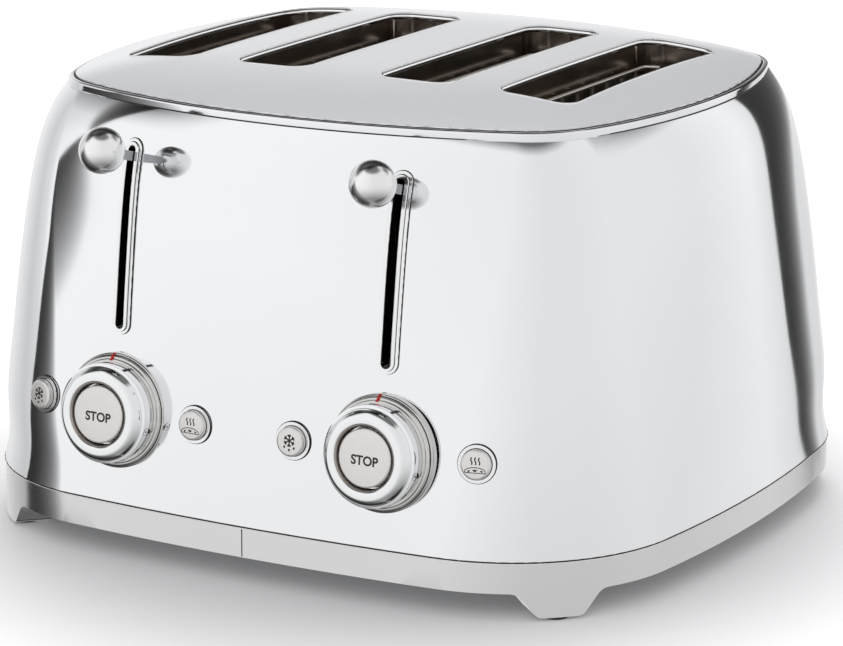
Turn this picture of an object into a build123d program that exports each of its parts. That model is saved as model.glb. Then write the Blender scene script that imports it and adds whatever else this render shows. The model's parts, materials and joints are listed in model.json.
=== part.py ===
from build123d import *

import math
import os

os.makedirs("parts", exist_ok=True)

# Four-slot toaster with a polished steel body, two levers and two sets of controls.
# The origin is on the table under the middle of the body. +Z is up, the controls
# face -Y and the crumb trays pull out towards +Y. All sizes are in millimetres.

# Form of the body
body_width = 330.0
body_depth = 302.0
body_bottom = 25.5
rim_height = 195.6
body_wall = 1.2
side_bow = 18.8
front_bow = 13.6
corner_radius = 78.6
rim_side_bow = 36.2
rim_front_bow = 38.4
rim_corner_radius = 37.5
wall_lean = 10.3
wall_curve = 5.2
shoulder_in = 10.0
shoulder_power = 11.6
flange_width = 5.5
form_steps = 9
form_crowding = 1.6

# Top panel and the bright bead around it
crown_rise = 8.8
crown_power = 5.4
crown_scales = (1.0, 0.97, 0.93, 0.88, 0.8, 0.7, 0.58, 0.42)
panel_sheet = 1.0
panel_edge_drop = 4.3
ledge_width = 8.0
bead_width = 2.4
bead_height = 3.6
bead_round = 1.0
slot_width = 36.0
slot_length = 144.0
slot_radius = 9.2
slot_pitch = 56.8
pair_pitch = 127.0
collar_drop = 9.6

# Skirt, feet and base
skirt_height = 13.0
skirt_gap = 0.5
skirt_inset = 0.25
skirt_wall = 2.5
skirt_seam = 0.2
skirt_ledge = 9.5
skirt_ledge_height = 2.5
foot_top_width = 36.0
foot_bottom_width = 19.0
foot_depth = 14.0
foot_round = 4.0
pad_height = 1.5
pad_diameter = 11.0
base_sheet = 1.5
vent_width = 4.0
vent_length = 12.0
vent_spacing = 17.0
vent_pitch = 12.0
vent_rows = 6
runner_width = 4.0
runner_height = 1.2
runner_spacing = 50.0
screw_head = 7.0
screw_head_height = 2.0
screw_shank = 3.4
screw_inset = 8.5
screw_x = 60.0
screw_y = 45.0

# Levers, their slots and what they lift
control_pitch = 129.0
lever_slot_drop = 16.6
lever_slot_width = 4.0
bezel_step = 1.3
bezel_width = 2 * bezel_step
bezel_low = 0.9
bezel_high = 1.8
bezel_neck_depth = 5.0
bezel_neck_wall = 0.9
liner_wall = 2.0
lever_ball = 19.5
ball_reach = 24.0
ball_seat = 6.0
stem_drop = 7.5
stem_spare = 7.9
stem_width = 3.0
stem_thickness = 4.0
carriage_sheet = 3.0
carriage_width = 14.0
carriage_rise = 1.5
rack_drop = 81.6
rack_low = 48.0
rack_depth = 6.0
rack_sheet = 1.6
finger_reach = 7.5
finger_width = 3.0
finger_sheet = 1.2
finger_count = 7
finger_pitch = 20.0
bar_height = 10.0
rod_diameter = 4.0
rod_gap = 6.0
rod_fit = 0.05
bush_diameter = 9.0
bush_length = 12.0
spring_diameter = 8.6
spring_wire = 1.3
magnet_width = 16.0
magnet_depth = 14.0
magnet_offset = 18.0
magnet_groove = 4.0
keeper_gap = 0.4

# Controls
control_height = 65.3
control_flange = 49.0
control_flange_rise = 2.5
control_bead = 47.0
control_bead_rise = 3.9
control_step = 44.6
control_step_rise = 5.0
knob_neck = 25.0
knob_neck_wall = 2.0
neck_depth = 3.0
knob_hub = 24.4
hub_depth = 12.5
knob_sleeve = 41.4
knob_ring = 43.4
ring_start = 11.2
ring_shoulder = 12.4
knob_front = 15.8
ring_crest = 17.6
ring_bulge = 20.6
ring_bulge_drop = 1.0
stop_diameter = 27.8
stop_groove = 0.8
stop_face = 15.2
stop_cap = 2.6
recess_floor = 10.8
stop_stem = 9.4
bush_wall = 5.0
bush_start = 3.5
press_travel = 1.5
press_spare = 0.3
button_offset = 40.6
button_diameter = 12.6
button_rise = 4.0
button_chamfer = 0.9
button_plunger = 5.0
button_body_depth = 3.5
collar_flange = 15.8
collar_rise = 1.25
collar_wall = 0.5
collar_depth = 2.6
housing_gap = 2.1
housing_sheet = 3.0
housing_width = 96.0
housing_top = 90.0
board_gap = 3.0
board_sheet = 1.6
liner_gap = 1.4
carriage_gap = 10.0
board_bottom = 44.0
board_post = 6.0
post_inset = 7.0
switch_height = 6.0
switch_diameter = 7.5

# Chassis, heaters and bread guides
chassis_gap = 5.0
chassis_sheet = 1.0
chassis_edge = 2.0
chassis_bottom = 36.0
chassis_drop = 11.6
chassis_leg = 16.0
arm_slot = 5.0
shield_gap = 32.1
heater_sheet = 1.2
heater_gap = 21.1
heater_bottom = 40.0
heater_drop = 1.0
guide_inset = 4.0
guide_travel = 5.0
guide_wire = 1.8
guide_rail = 2.2
guide_weld = 1.6
guide_low = 56.0
guide_high_drop = 17.6
guide_top_drop = 3.6
rail_reach = 4.0
guide_wires = 9
guide_pitch = 14.0
guide_front_gap = 13.0
guide_bend_gap = 14.0
guide_hook = 7.0
guide_bend_radius = 5.0

# Crumb trays and the parts at the back
tray_width = 88.0
tray_height = 8.0
tray_sheet = 0.8
tray_front_gap = 1.0
tray_face_margin = 3.0
tray_face_height = 12.5
tray_face_sheet = 1.5
pull_width = 36.0
pull_sheet = 3.0
pull_reach = 12.0
pull_radius = 6.0
gland_height = 42.0
gland_diameter = 12.6
gland_flange = 17.0
gland_bore = 8.0
gland_rise = 3.0
gland_depth = 8.0
power_width = 90.0
power_height = 68.0
power_plane = 104.0
power_bottom = 66.0
power_post = 5.0
transformer_size = 28.0
transformer_depth = 20.0
capacitor_diameter = 11.0
capacitor_length = 18.0

# Clearances: between pieces that stand still, and between pieces that move
seat_gap = 0.3
move_gap = 0.6
hole_gap = 0.3
skin_gap = 0.1
cut_depth = 5.0

# Heights and places that follow from the sizes above
ledge_top = rim_height - panel_edge_drop
ledge_bottom = ledge_top - body_wall
base_top = body_bottom
base_bottom = base_top - base_sheet
skirt_top = body_bottom - skirt_gap
skirt_bottom = skirt_top - skirt_height
skirt_ledge_bottom = base_bottom - skirt_ledge_height
tray_bottom = body_bottom + runner_height + seat_gap
tray_top = tray_bottom + tray_height
lever_x = control_pitch / 2
pair_x = pair_pitch / 2
rack_height = rim_height - rack_drop
lever_travel = rack_height - rack_low
bar_bottom = rack_height - rack_depth
lever_slot_top = rim_height - lever_slot_drop
stem_height = lever_slot_top - stem_drop
lever_slot_bottom = stem_height - lever_travel - stem_spare
carriage_top = stem_height + carriage_rise
chassis_top = rim_height - chassis_drop
chassis_half = slot_length / 2 + chassis_gap
shield_x = pair_x + slot_pitch / 2 + shield_gap
chassis_width = 2 * (shield_x + chassis_edge)
heater_top = chassis_top - heater_drop
heater_offset = slot_pitch / 2 + heater_gap
guide_offset = slot_width / 2 - guide_inset
guide_high = rim_height - guide_high_drop
guide_top = rim_height - guide_top_drop
guide_reach = chassis_half + rail_reach
guide_front = chassis_half - guide_front_gap
guide_bend = chassis_half - guide_bend_gap
tray_front = chassis_half - tray_front_gap
sides = {"left": -1, "right": 1}


def wall_rise(height):
    """Where a height lies between the body's lower edge and the rim, from 0 to 1."""
    return (height - body_bottom) / (rim_height - body_bottom)


def section(height, grow=0.0):
    """Half width, half depth, side bow, front bow and corner radius at a height."""
    rise = wall_rise(height)
    inset = wall_lean * rise + wall_curve * rise**2 + shoulder_in * rise**shoulder_power
    return (
        body_width / 2 - inset + grow,
        body_depth / 2 - inset + grow,
        side_bow + rise * (rim_side_bow - side_bow),
        front_bow + rise * (rim_front_bow - front_bow),
        corner_radius + rise * (rim_corner_radius - corner_radius) + grow,
    )


def arc_radius(half_chord, bow):
    """Radius of an arc with this half chord and bow."""
    return (half_chord**2 + bow**2) / (2 * bow)


def outline_arcs(half_x, half_y, bow_x, bow_y, corner):
    """Centres of the side, front and corner arcs in the first quarter of an outline."""
    side_radius = arc_radius(half_y, bow_x)
    front_radius = arc_radius(half_x, bow_y)
    side = Vector(half_x - side_radius, 0)
    front = Vector(0, half_y - front_radius)
    line = (front - side).normalized()
    apart = (front - side).length
    side_reach = side_radius - corner
    front_reach = front_radius - corner
    along = (side_reach**2 - front_reach**2 + apart**2) / (2 * apart)
    across = math.sqrt(side_reach**2 - along**2)
    middle = side + line * along + Vector(-line.Y, line.X) * across
    return side, front, middle


def outline_points(half_x, half_y, bow_x, bow_y, corner):
    """Where the side arc ends, the middle of the corner, and where the front arc ends."""
    side, front, middle = outline_arcs(half_x, half_y, bow_x, bow_y, corner)
    side_way = (middle - side).normalized()
    front_way = (middle - front).normalized()
    corner_way = (side_way + front_way).normalized()
    return middle + side_way * corner, middle + corner_way * corner, middle + front_way * corner


def outline(height, sizes):
    """A bulged rectangle of eight tangent arcs at a height."""
    half_x, half_y = sizes[:2]
    side, turn, front = outline_points(*sizes)
    with BuildSketch(Plane.XY.offset(height)) as shape:
        with BuildLine():
            ThreePointArc((side.X, -side.Y), (half_x, 0), (side.X, side.Y))
            ThreePointArc((side.X, side.Y), (turn.X, turn.Y), (front.X, front.Y))
            ThreePointArc((front.X, front.Y), (0, half_y), (-front.X, front.Y))
            ThreePointArc((-front.X, front.Y), (-turn.X, turn.Y), (-side.X, side.Y))
            ThreePointArc((-side.X, side.Y), (-half_x, 0), (-side.X, -side.Y))
            ThreePointArc((-side.X, -side.Y), (-turn.X, -turn.Y), (-front.X, -front.Y))
            ThreePointArc((-front.X, -front.Y), (0, -half_y), (front.X, -front.Y))
            ThreePointArc((front.X, -front.Y), (turn.X, -turn.Y), (side.X, -side.Y))
        make_face()
    return shape.sketch


def body_form(bottom, top, grow=0.0, mode=Mode.ADD):
    """The leaning body between two heights, grown or shrunk by a distance."""
    shares = [1 - (1 - step / form_steps) ** form_crowding for step in range(form_steps + 1)]
    heights = [bottom + (top - bottom) * share for share in shares]
    loft([outline(height, section(height, grow)) for height in heights], mode=mode)


def base_slab(grow, bottom, top, mode=Mode.ADD):
    """A straight slab with the outline of the body's lower edge."""
    extrude(outline(bottom, section(body_bottom, grow)), amount=top - bottom, mode=mode)


def rim_slab(grow, bottom, top, mode=Mode.ADD):
    """A straight slab with the outline of the rim."""
    extrude(outline(bottom, section(rim_height, grow)), amount=top - bottom, mode=mode)


def crown_form(grow, drop, mode=Mode.ADD):
    """The crowned top inside the rim, shrunk sideways and lowered."""
    sizes = section(rim_height, grow)
    heights = [rim_height + crown_rise * (1 - scale**crown_power) - drop for scale in crown_scales]
    layers = zip(heights, crown_scales)
    loft([outline(height, [scale * size for size in sizes]) for height, scale in layers], mode=mode)


def front_depth(x, height, grow=0.0):
    """How far the front of the body stands from the middle plane at one place."""
    sizes = section(height, grow)
    half_x, half_y, bow_x, bow_y, corner = sizes
    side, front, middle = outline_arcs(*sizes)
    front_end = outline_points(*sizes)[2]
    if abs(x) <= front_end.X:
        return front.Y + math.sqrt(arc_radius(half_x, bow_y) ** 2 - x**2)
    return middle.Y + math.sqrt(corner**2 - (abs(x) - middle.X) ** 2)


def face_plane(x, height, follow_bow=True):
    """A plane on the front of the body that faces out and leans with the wall."""
    reach = 0.5
    lean = (front_depth(x, height + reach) - front_depth(x, height - reach)) / (2 * reach)
    turn = (front_depth(x + reach, height) - front_depth(x - reach, height)) / (2 * reach)
    outwards = Vector(-turn if follow_bow else 0, -1, -lean).normalized()
    across = Vector(0, 0, 1).cross(outwards)
    return Plane(origin=(x, -front_depth(x, height), height), x_dir=across, z_dir=outwards)


def profile_plane(plane):
    """The plane through a control's axis, with X outwards from it and Y along it."""
    return Plane(origin=plane.origin, x_dir=plane.x_dir, z_dir=plane.y_dir * -1)


def tube(plane, outer, inner, start, end, mode=Mode.ADD):
    """A round tube or rod square to a plane, from one distance in front of it to another."""
    with BuildSketch(plane.offset(start)) as ring:
        Circle(outer / 2)
        if inner > 0:
            Circle(inner / 2, mode=Mode.SUBTRACT)
    extrude(ring.sketch, amount=end - start, mode=mode)


def block(low, high, mode=Mode.ADD):
    """A rectangular block between two corners."""
    with BuildSketch(Plane.XY.offset(low[2])) as base:
        with Locations(((low[0] + high[0]) / 2, (low[1] + high[1]) / 2)):
            Rectangle(high[0] - low[0], high[1] - low[1])
    extrude(base.sketch, amount=high[2] - low[2], mode=mode)


def lever_prism(x, grow, depth, mode=Mode.ADD):
    """An upright slot shape at a lever, pushed out through the front of the body."""
    middle = (lever_slot_top + lever_slot_bottom) / 2
    length = lever_slot_top - lever_slot_bottom - 2 * bezel_width + 2 * grow
    with BuildSketch(Plane.XZ.offset(depth)) as opening:
        with Locations((x, middle)):
            SlotOverall(length, lever_slot_width + 2 * grow, rotation=90)
    extrude(opening.sketch, amount=body_depth / 2 + pull_reach - depth, mode=mode)


def slot_outlines(grow):
    """The outlines of the four bread slots, grown by a distance."""
    with Locations([(x, 0) for x in slot_centres]):
        RectangleRounded(slot_width + 2 * grow, slot_length + 2 * grow, slot_radius + grow)


def axis_length(plane, depth):
    """Distance along a control's axis from the body's face to an upright plane behind it."""
    return (-plane.origin.Y - depth) / -plane.z_dir.Y


def board_reach(plane):
    """Distance along a control's axis from the body's face to its circuit board."""
    return axis_length(plane, board_plane)


# Centres of the four bread slots, from left to right
slot_centres = [
    pair * pair_x + place * slot_pitch / 2
    for pair in sides.values()
    for place in sides.values()
]

# Planes of the knobs and of the push buttons
knob_planes = {
    name: face_plane(side * lever_x, control_height, follow_bow=False)
    for name, side in sides.items()
}
buttons = {"defrost": -1, "bagel": 1}
button_planes = {
    (button, name): face_plane(side * lever_x + place * button_offset, control_height)
    for name, side in sides.items()
    for button, place in buttons.items()
}

# Upright planes behind the controls: each housing stands clear of the pressed push buttons,
# and its board, the lever slots' liners, the carriages and the guide rods follow behind it
button_drop = button_body_depth + press_travel
button_backs = [
    button_drop * plane.z_dir.Y
    - plane.origin.Y
    - button_diameter / 2 * math.sqrt(1 - plane.z_dir.Y**2)
    for plane in button_planes.values()
]
housing_plane = min(button_backs) - housing_gap
housing_back = housing_plane - housing_sheet
board_plane = housing_back - board_gap
board_back = board_plane - board_sheet
liner_back = board_back - liner_gap
carriage_front = liner_back - carriage_gap
carriage_back = carriage_front - carriage_sheet
rod_offset = carriage_back - rod_gap

# Plane of the cord inlet, facing back
inlet_place = (0, front_depth(0, gland_height), gland_height)
gland_plane = Plane(origin=inlet_place, x_dir=(-1, 0, 0), z_dir=(0, 1, 0))

# Forms that other pieces are trimmed to: the body's skin and layers that stand on it
with BuildPart() as skin:
    body_form(body_bottom, ledge_top, skin_gap)

with BuildPart() as low_layer:
    body_form(body_bottom, ledge_top, bezel_low)
    body_form(body_bottom, ledge_top, skin_gap, mode=Mode.SUBTRACT)

with BuildPart() as high_layer:
    body_form(body_bottom, ledge_top, bezel_high)
    body_form(body_bottom, ledge_top, skin_gap, mode=Mode.SUBTRACT)

with BuildPart() as neck_layer:
    body_form(body_bottom, ledge_top, bezel_low)
    body_form(body_bottom, ledge_top, -bezel_neck_depth, mode=Mode.SUBTRACT)

with BuildPart() as inner_form:
    body_form(body_bottom, ledge_top, -body_wall - seat_gap)

with BuildPart() as tray_layer:
    body_form(body_bottom, ledge_top, seat_gap + tray_face_sheet)
    body_form(body_bottom, ledge_top, seat_gap, mode=Mode.SUBTRACT)

with BuildPart() as tray_form:
    body_form(body_bottom, ledge_top, seat_gap + tray_face_sheet / 2)

with BuildPart() as tray_hollow_form:
    body_form(body_bottom, ledge_top, seat_gap - tray_sheet)

# Body shell: one drawn steel wall with a turned-in lower flange and a ledge for the top
with BuildPart() as body_shell:
    body_form(body_bottom, ledge_top)
    body_form(body_bottom + body_wall, ledge_bottom, -body_wall, mode=Mode.SUBTRACT)
    base_slab(-flange_width, body_bottom, body_bottom + 2 * body_wall, mode=Mode.SUBTRACT)
    rim_slab(-ledge_width, ledge_bottom - body_wall, ledge_top + body_wall, mode=Mode.SUBTRACT)
    for side in sides.values():
        lever_prism(side * lever_x, bezel_neck_wall + hole_gap, carriage_front, mode=Mode.SUBTRACT)
        tray_x = side * pair_x
        half = tray_width / 2 + move_gap
        block(
            (tray_x - half, body_depth / 4, body_bottom + body_wall),
            (tray_x + half, body_depth, tray_top + move_gap),
            mode=Mode.SUBTRACT,
        )
    for plane in knob_planes.values():
        hole = knob_neck + 2 * knob_neck_wall + 2 * hole_gap
        tube(plane, hole, 0, -cut_depth, cut_depth, mode=Mode.SUBTRACT)
    for plane in button_planes.values():
        hole = button_diameter + 2 * (hole_gap + collar_wall + hole_gap)
        tube(plane, hole, 0, -cut_depth, cut_depth, mode=Mode.SUBTRACT)
    tube(gland_plane, gland_diameter + 2 * hole_gap, 0, -cut_depth, cut_depth, mode=Mode.SUBTRACT)
body_shell.part.label = "body_shell"
export_step(body_shell.part, "parts/body_shell.step")

# Trim ring: the bright bead that stands on the ledge around the top panel
with BuildPart() as top_trim_ring:
    rim_slab(seat_gap + bead_width, ledge_top, ledge_top + bead_height)
    rim_slab(seat_gap, ledge_top, ledge_top + bead_height, mode=Mode.SUBTRACT)
    crest = top_trim_ring.faces().sort_by(Axis.Z)[-1]
    fillet(crest.edges(), bead_round)
top_trim_ring.part.label = "top_trim_ring"
export_step(top_trim_ring.part, "parts/top_trim_ring.step")

# Top panel: a crowned sheet whose four bread slots have turned-down collars
with BuildPart() as panel_cavity:
    rim_slab(-panel_sheet, ledge_top - panel_sheet, rim_height - panel_sheet)
    crown_form(-panel_sheet, panel_sheet)
    with BuildSketch(Plane.XY.offset(ledge_top - collar_drop)):
        slot_outlines(panel_sheet)
    extrude(amount=rim_height + crown_rise, mode=Mode.SUBTRACT)

with BuildPart() as top_panel:
    rim_slab(0, ledge_top, rim_height)
    crown_form(0, 0)
    with BuildSketch(Plane.XY.offset(rim_height - collar_drop)):
        slot_outlines(panel_sheet)
    extrude(amount=collar_drop)
    add(panel_cavity.part, mode=Mode.SUBTRACT)
    with BuildSketch(Plane.XY.offset(rim_height - 2 * collar_drop)):
        slot_outlines(0)
    extrude(amount=3 * collar_drop, mode=Mode.SUBTRACT)
top_panel.part.label = "top_panel"
export_step(top_panel.part, "parts/top_panel.step")

# Screws: four on the front and back runs of the skirt and four on its sides
side_screw_x = body_width / 2 - screw_inset - skirt_inset
front_screw_y = front_depth(screw_x, body_bottom) - screw_inset
screw_corners = ((screw_x, front_screw_y), (side_screw_x, screw_y))
screw_places = [
    (x_side * x, y_side * y)
    for x, y in screw_corners
    for x_side in sides.values()
    for y_side in sides.values()
]

with BuildPart() as base_screws:
    with BuildSketch(Plane.XY.offset(skirt_ledge_bottom - screw_head_height)):
        with Locations(screw_places):
            Circle(screw_head / 2)
    extrude(amount=screw_head_height)
    with BuildSketch(Plane.XY.offset(skirt_ledge_bottom)):
        with Locations(screw_places):
            Circle(screw_shank / 2)
    extrude(amount=skirt_ledge_height + base_sheet)
base_screws.part.label = "base_screws"
export_step(base_screws.part, "parts/base_screws.step")

# Base plate: a vented steel sheet with pressed runners for the crumb trays
with BuildPart() as base_plate:
    base_slab(-skirt_inset - skirt_wall - seat_gap, base_bottom, base_top)
    for side in sides.values():
        for place in sides.values():
            runner_x = side * pair_x + place * runner_spacing / 2
            block(
                (runner_x - runner_width / 2, -tray_front, base_top),
                (runner_x + runner_width / 2, tray_front, base_top + runner_height),
            )
    with BuildSketch(Plane.XY.offset(base_bottom)):
        for side in sides.values():
            with Locations((side * pair_x, 0)):
                with GridLocations(vent_spacing, vent_pitch, 2, vent_rows):
                    SlotOverall(vent_length, vent_width)
        with Locations(screw_places):
            Circle(screw_shank / 2 + hole_gap)
    extrude(amount=base_sheet, mode=Mode.SUBTRACT)
base_plate.part.label = "base_plate"
export_step(base_plate.part, "parts/base_plate.step")

# Skirt: two satin halves with a foot at each corner, a seam in front and one behind
corner_place = outline_points(*section(body_bottom, -skirt_inset))[1]
foot_way = corner_place.normalized()
pad_place = corner_place - foot_way * (foot_depth / 2)
foot_places = [(x * pad_place.X, y * pad_place.Y) for x in sides.values() for y in sides.values()]


def foot(x_side, y_side):
    """The outline of one foot seen along its corner, pushed through the skirt."""
    way = Vector(x_side * foot_way.X, y_side * foot_way.Y)
    plane = Plane(origin=way * (corner_place.length / 2), x_dir=(-way.Y, way.X, 0), z_dir=way)
    wide = foot_top_width / 2
    narrow = foot_bottom_width / 2
    with BuildSketch(plane) as side_view:
        with BuildLine():
            Polyline(
                (-wide, skirt_ledge_bottom),
                (-wide, skirt_bottom),
                (-narrow, pad_height),
                (narrow, pad_height),
                (wide, skirt_bottom),
                (wide, skirt_ledge_bottom),
                close=True,
            )
        make_face()
        fillet(side_view.vertices().group_by(Axis.Y)[0], foot_round)
    extrude(side_view.sketch, amount=corner_place.length)


with BuildPart() as foot_band:
    base_slab(-skirt_inset, 0, skirt_ledge_bottom)
    base_slab(-skirt_inset - foot_depth, 0, skirt_ledge_bottom, mode=Mode.SUBTRACT)

with BuildPart() as feet:
    for x_side in sides.values():
        for y_side in sides.values():
            foot(x_side, y_side)
    add(foot_band.part, mode=Mode.INTERSECT)

for name, side in sides.items():
    with BuildPart() as skirt:
        base_slab(-skirt_inset, skirt_bottom, skirt_top)
        base_slab(-skirt_inset - skirt_wall, skirt_bottom, skirt_top, mode=Mode.SUBTRACT)
        base_slab(-skirt_inset, skirt_ledge_bottom, base_bottom)
        base_slab(-skirt_inset - skirt_ledge, skirt_ledge_bottom, base_bottom, mode=Mode.SUBTRACT)
        add(feet.part)
        with BuildSketch(Plane.XY.offset(skirt_ledge_bottom)):
            with Locations(screw_places):
                Circle(screw_shank / 2 + hole_gap)
        extrude(amount=skirt_ledge_height, mode=Mode.SUBTRACT)
        edge = side * skirt_seam / 2
        block(
            (min(edge, side * body_width), -body_depth, 0),
            (max(edge, side * body_width), body_depth, body_bottom),
            mode=Mode.INTERSECT,
        )
    skirt.part.label = f"skirt_{name}"
    export_step(skirt.part, f"parts/skirt_{name}.step")

# Rubber pads under the feet
with BuildPart() as foot_pads:
    with BuildSketch(Plane.XY):
        with Locations(foot_places):
            Circle(pad_diameter / 2)
    extrude(amount=pad_height)
foot_pads.part.label = "foot_pads"
export_step(foot_pads.part, "parts/foot_pads.step")

# Lever bezels: two-step bright frames that follow the wall, each with a neck through it
for name, side in sides.items():
    x = side * lever_x
    with BuildPart() as bezel_foot:
        lever_prism(x, bezel_width, carriage_front)
        add(low_layer.part, mode=Mode.INTERSECT)
    with BuildPart() as bezel_lip:
        lever_prism(x, bezel_step, carriage_front)
        add(high_layer.part, mode=Mode.INTERSECT)
    with BuildPart() as bezel_neck:
        lever_prism(x, bezel_neck_wall, carriage_front)
        add(neck_layer.part, mode=Mode.INTERSECT)
    with BuildPart() as lever_bezel:
        add(bezel_foot.part)
        add(bezel_lip.part)
        add(bezel_neck.part)
        lever_prism(x, 0, carriage_front, mode=Mode.SUBTRACT)
    lever_bezel.part.label = f"lever_bezel_{name}"
    export_step(lever_bezel.part, f"parts/lever_bezel_{name}.step")

# Slot liners: black sleeves behind the bezels that guide the lever stems
for name, side in sides.items():
    x = side * lever_x
    with BuildPart() as slot_liner:
        lever_prism(x, bezel_neck_wall + hole_gap + liner_wall, liner_back)
        add(inner_form.part, mode=Mode.INTERSECT)
        lever_prism(x, bezel_neck_wall + hole_gap, liner_back, mode=Mode.SUBTRACT)
    slot_liner.part.label = f"slot_liner_{name}"
    export_step(slot_liner.part, f"parts/slot_liner_{name}.step")

# Control rings: fixed stepped rings that the browning knobs turn in
for name, plane in knob_planes.items():
    with BuildPart() as control_ring:
        tube(plane, control_flange, knob_neck, -2 * body_wall, control_flange_rise)
        with BuildSketch(profile_plane(plane)):
            with BuildLine():
                Line((control_bead / 2, control_flange_rise), (control_step / 2, control_flange_rise))
                Line((control_step / 2, control_flange_rise), (control_step / 2, control_bead_rise))
                ThreePointArc(
                    (control_step / 2, control_bead_rise),
                    (control_bead / 2, (control_flange_rise + control_bead_rise) / 2),
                    (control_bead / 2, control_flange_rise),
                )
            make_face()
        revolve(axis=Axis(plane.origin, plane.z_dir))
        tube(plane, control_step, knob_neck, 0, control_step_rise)
        add(skin.part, mode=Mode.SUBTRACT)
        tube(plane, knob_neck + 2 * knob_neck_wall, knob_neck, -neck_depth, control_step_rise)
    control_ring.part.label = f"control_ring_{name}"
    export_step(control_ring.part, f"parts/control_ring_{name}.step")

# Browning knobs: a numbered sleeve and a rounded front ring on a hollow hub
for name, plane in knob_planes.items():
    with BuildPart() as browning_knob:
        with BuildSketch(profile_plane(plane)):
            with BuildLine():
                Polyline(
                    (stop_stem / 2 + hole_gap, recess_floor),
                    (stop_stem / 2 + hole_gap, -hub_depth),
                    (knob_hub / 2, -hub_depth),
                    (knob_hub / 2, control_step_rise + seat_gap),
                    (knob_sleeve / 2, control_step_rise + seat_gap),
                    (knob_sleeve / 2, ring_start),
                    (knob_ring / 2, ring_start),
                    (knob_ring / 2, ring_shoulder),
                )
                ThreePointArc(
                    (knob_ring / 2, ring_shoulder),
                    (ring_bulge, knob_front - ring_bulge_drop),
                    (ring_crest, knob_front),
                )
                Polyline(
                    (ring_crest, knob_front),
                    (stop_diameter / 2 + stop_groove, stop_face),
                    (stop_diameter / 2 + stop_groove, recess_floor),
                    (stop_stem / 2 + hole_gap, recess_floor),
                )
            make_face()
        revolve(axis=Axis(plane.origin, plane.z_dir))
    browning_knob.part.label = f"browning_knob_{name}"
    export_step(browning_knob.part, f"parts/browning_knob_{name}.step")

# Stop buttons: a round cap in the middle of each knob with a stem to the board
for name, plane in knob_planes.items():
    stem_end = -board_reach(plane) + switch_height + press_travel + press_spare
    with BuildPart() as stop_button:
        tube(plane, stop_diameter, 0, stop_face - stop_cap, stop_face)
        tube(plane, stop_stem, 0, stem_end, stop_face - stop_cap)
    stop_button.part.label = f"stop_button_{name}"
    export_step(stop_button.part, f"parts/stop_button_{name}.step")

# Push buttons: a chamfered cap with a thin plunger to the board
for (button, name), plane in button_planes.items():
    plunger_end = -board_reach(plane) + switch_height + press_travel + press_spare
    with BuildPart() as push_button:
        tube(plane, button_diameter, 0, -button_body_depth, button_rise)
        face = push_button.faces().sort_by(Axis(plane.origin, plane.z_dir))[-1]
        chamfer(face.edges(), button_chamfer)
        tube(plane, button_plunger, 0, plunger_end, -button_body_depth)
    push_button.part.label = f"{button}_button_{name}"
    export_step(push_button.part, f"parts/{button}_button_{name}.step")

# Button collars: four thin rings set in the wall around the push buttons
with BuildPart() as button_collars:
    button_bore = button_diameter + 2 * hole_gap
    for plane in button_planes.values():
        tube(plane, collar_flange, button_bore, -2 * body_wall, collar_rise)
    add(skin.part, mode=Mode.SUBTRACT)
    for plane in button_planes.values():
        tube(plane, button_bore + 2 * collar_wall, button_bore, -collar_depth, collar_rise)
button_collars.part.label = "button_collars"
export_step(button_collars.part, "parts/button_collars.step")

# Control housings: black plates that stand on the base and carry the knobs' bearings
post_heights = (board_bottom + post_inset, housing_top - post_inset)
for name, side in sides.items():
    x = side * lever_x
    knob_plane = knob_planes[name]
    plate_reach = axis_length(knob_plane, (housing_plane + housing_back) / 2)
    post_x = housing_width / 2 - post_inset
    with BuildPart() as control_housing:
        block(
            (x - housing_width / 2, -housing_plane, base_top),
            (x + housing_width / 2, -housing_back, housing_top),
        )
        tube(knob_plane, knob_hub + 2 * bush_wall, 0, -plate_reach, -bush_start)
        with BuildSketch(Plane.XZ.offset(board_plane)):
            with Locations([(x + place * post_x, z) for place in sides.values() for z in post_heights]):
                Circle(board_post / 2)
        extrude(amount=housing_back - board_plane)
        tube(knob_plane, knob_hub + 2 * rod_fit, 0, -hub_depth - move_gap, 0, mode=Mode.SUBTRACT)
        tube(knob_plane, stop_stem + 2 * move_gap, 0, -board_reach(knob_plane), 0, mode=Mode.SUBTRACT)
        for button in buttons:
            plane = button_planes[button, name]
            hole = switch_diameter + 2 * move_gap
            tube(plane, hole, 0, -board_reach(plane), 0, mode=Mode.SUBTRACT)
    control_housing.part.label = f"control_housing_{name}"
    export_step(control_housing.part, f"parts/control_housing_{name}.step")

# Control boards: a circuit board behind each housing with three push switches
for name, side in sides.items():
    x = side * lever_x
    with BuildPart() as control_board:
        block(
            (x - housing_width / 2, -board_plane, board_bottom),
            (x + housing_width / 2, -board_back, housing_top),
        )
        for plane in (knob_planes[name], *[button_planes[button, name] for button in buttons]):
            reach = board_reach(plane)
            tube(plane, switch_diameter, 0, -reach - board_sheet / 2, -reach + switch_height)
    control_board.part.label = f"control_board_{name}"
    export_step(control_board.part, f"parts/control_board_{name}.step")

# Lever knobs: a bright ball with a small flat seat on the end of each stem
stem_planes = {
    name: face_plane(side * lever_x, stem_height, follow_bow=False)
    for name, side in sides.items()
}
seat_reach = ball_reach - math.sqrt(lever_ball**2 - ball_seat**2) / 2
for name, plane in stem_planes.items():
    with BuildPart() as lever_knob:
        with Locations(plane.offset(ball_reach)):
            Sphere(lever_ball / 2)
        tube(plane, lever_ball, 0, 0, seat_reach, mode=Mode.SUBTRACT)
    lever_knob.part.label = f"lever_knob_{name}"
    export_step(lever_knob.part, f"parts/lever_knob_{name}.step")

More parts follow.
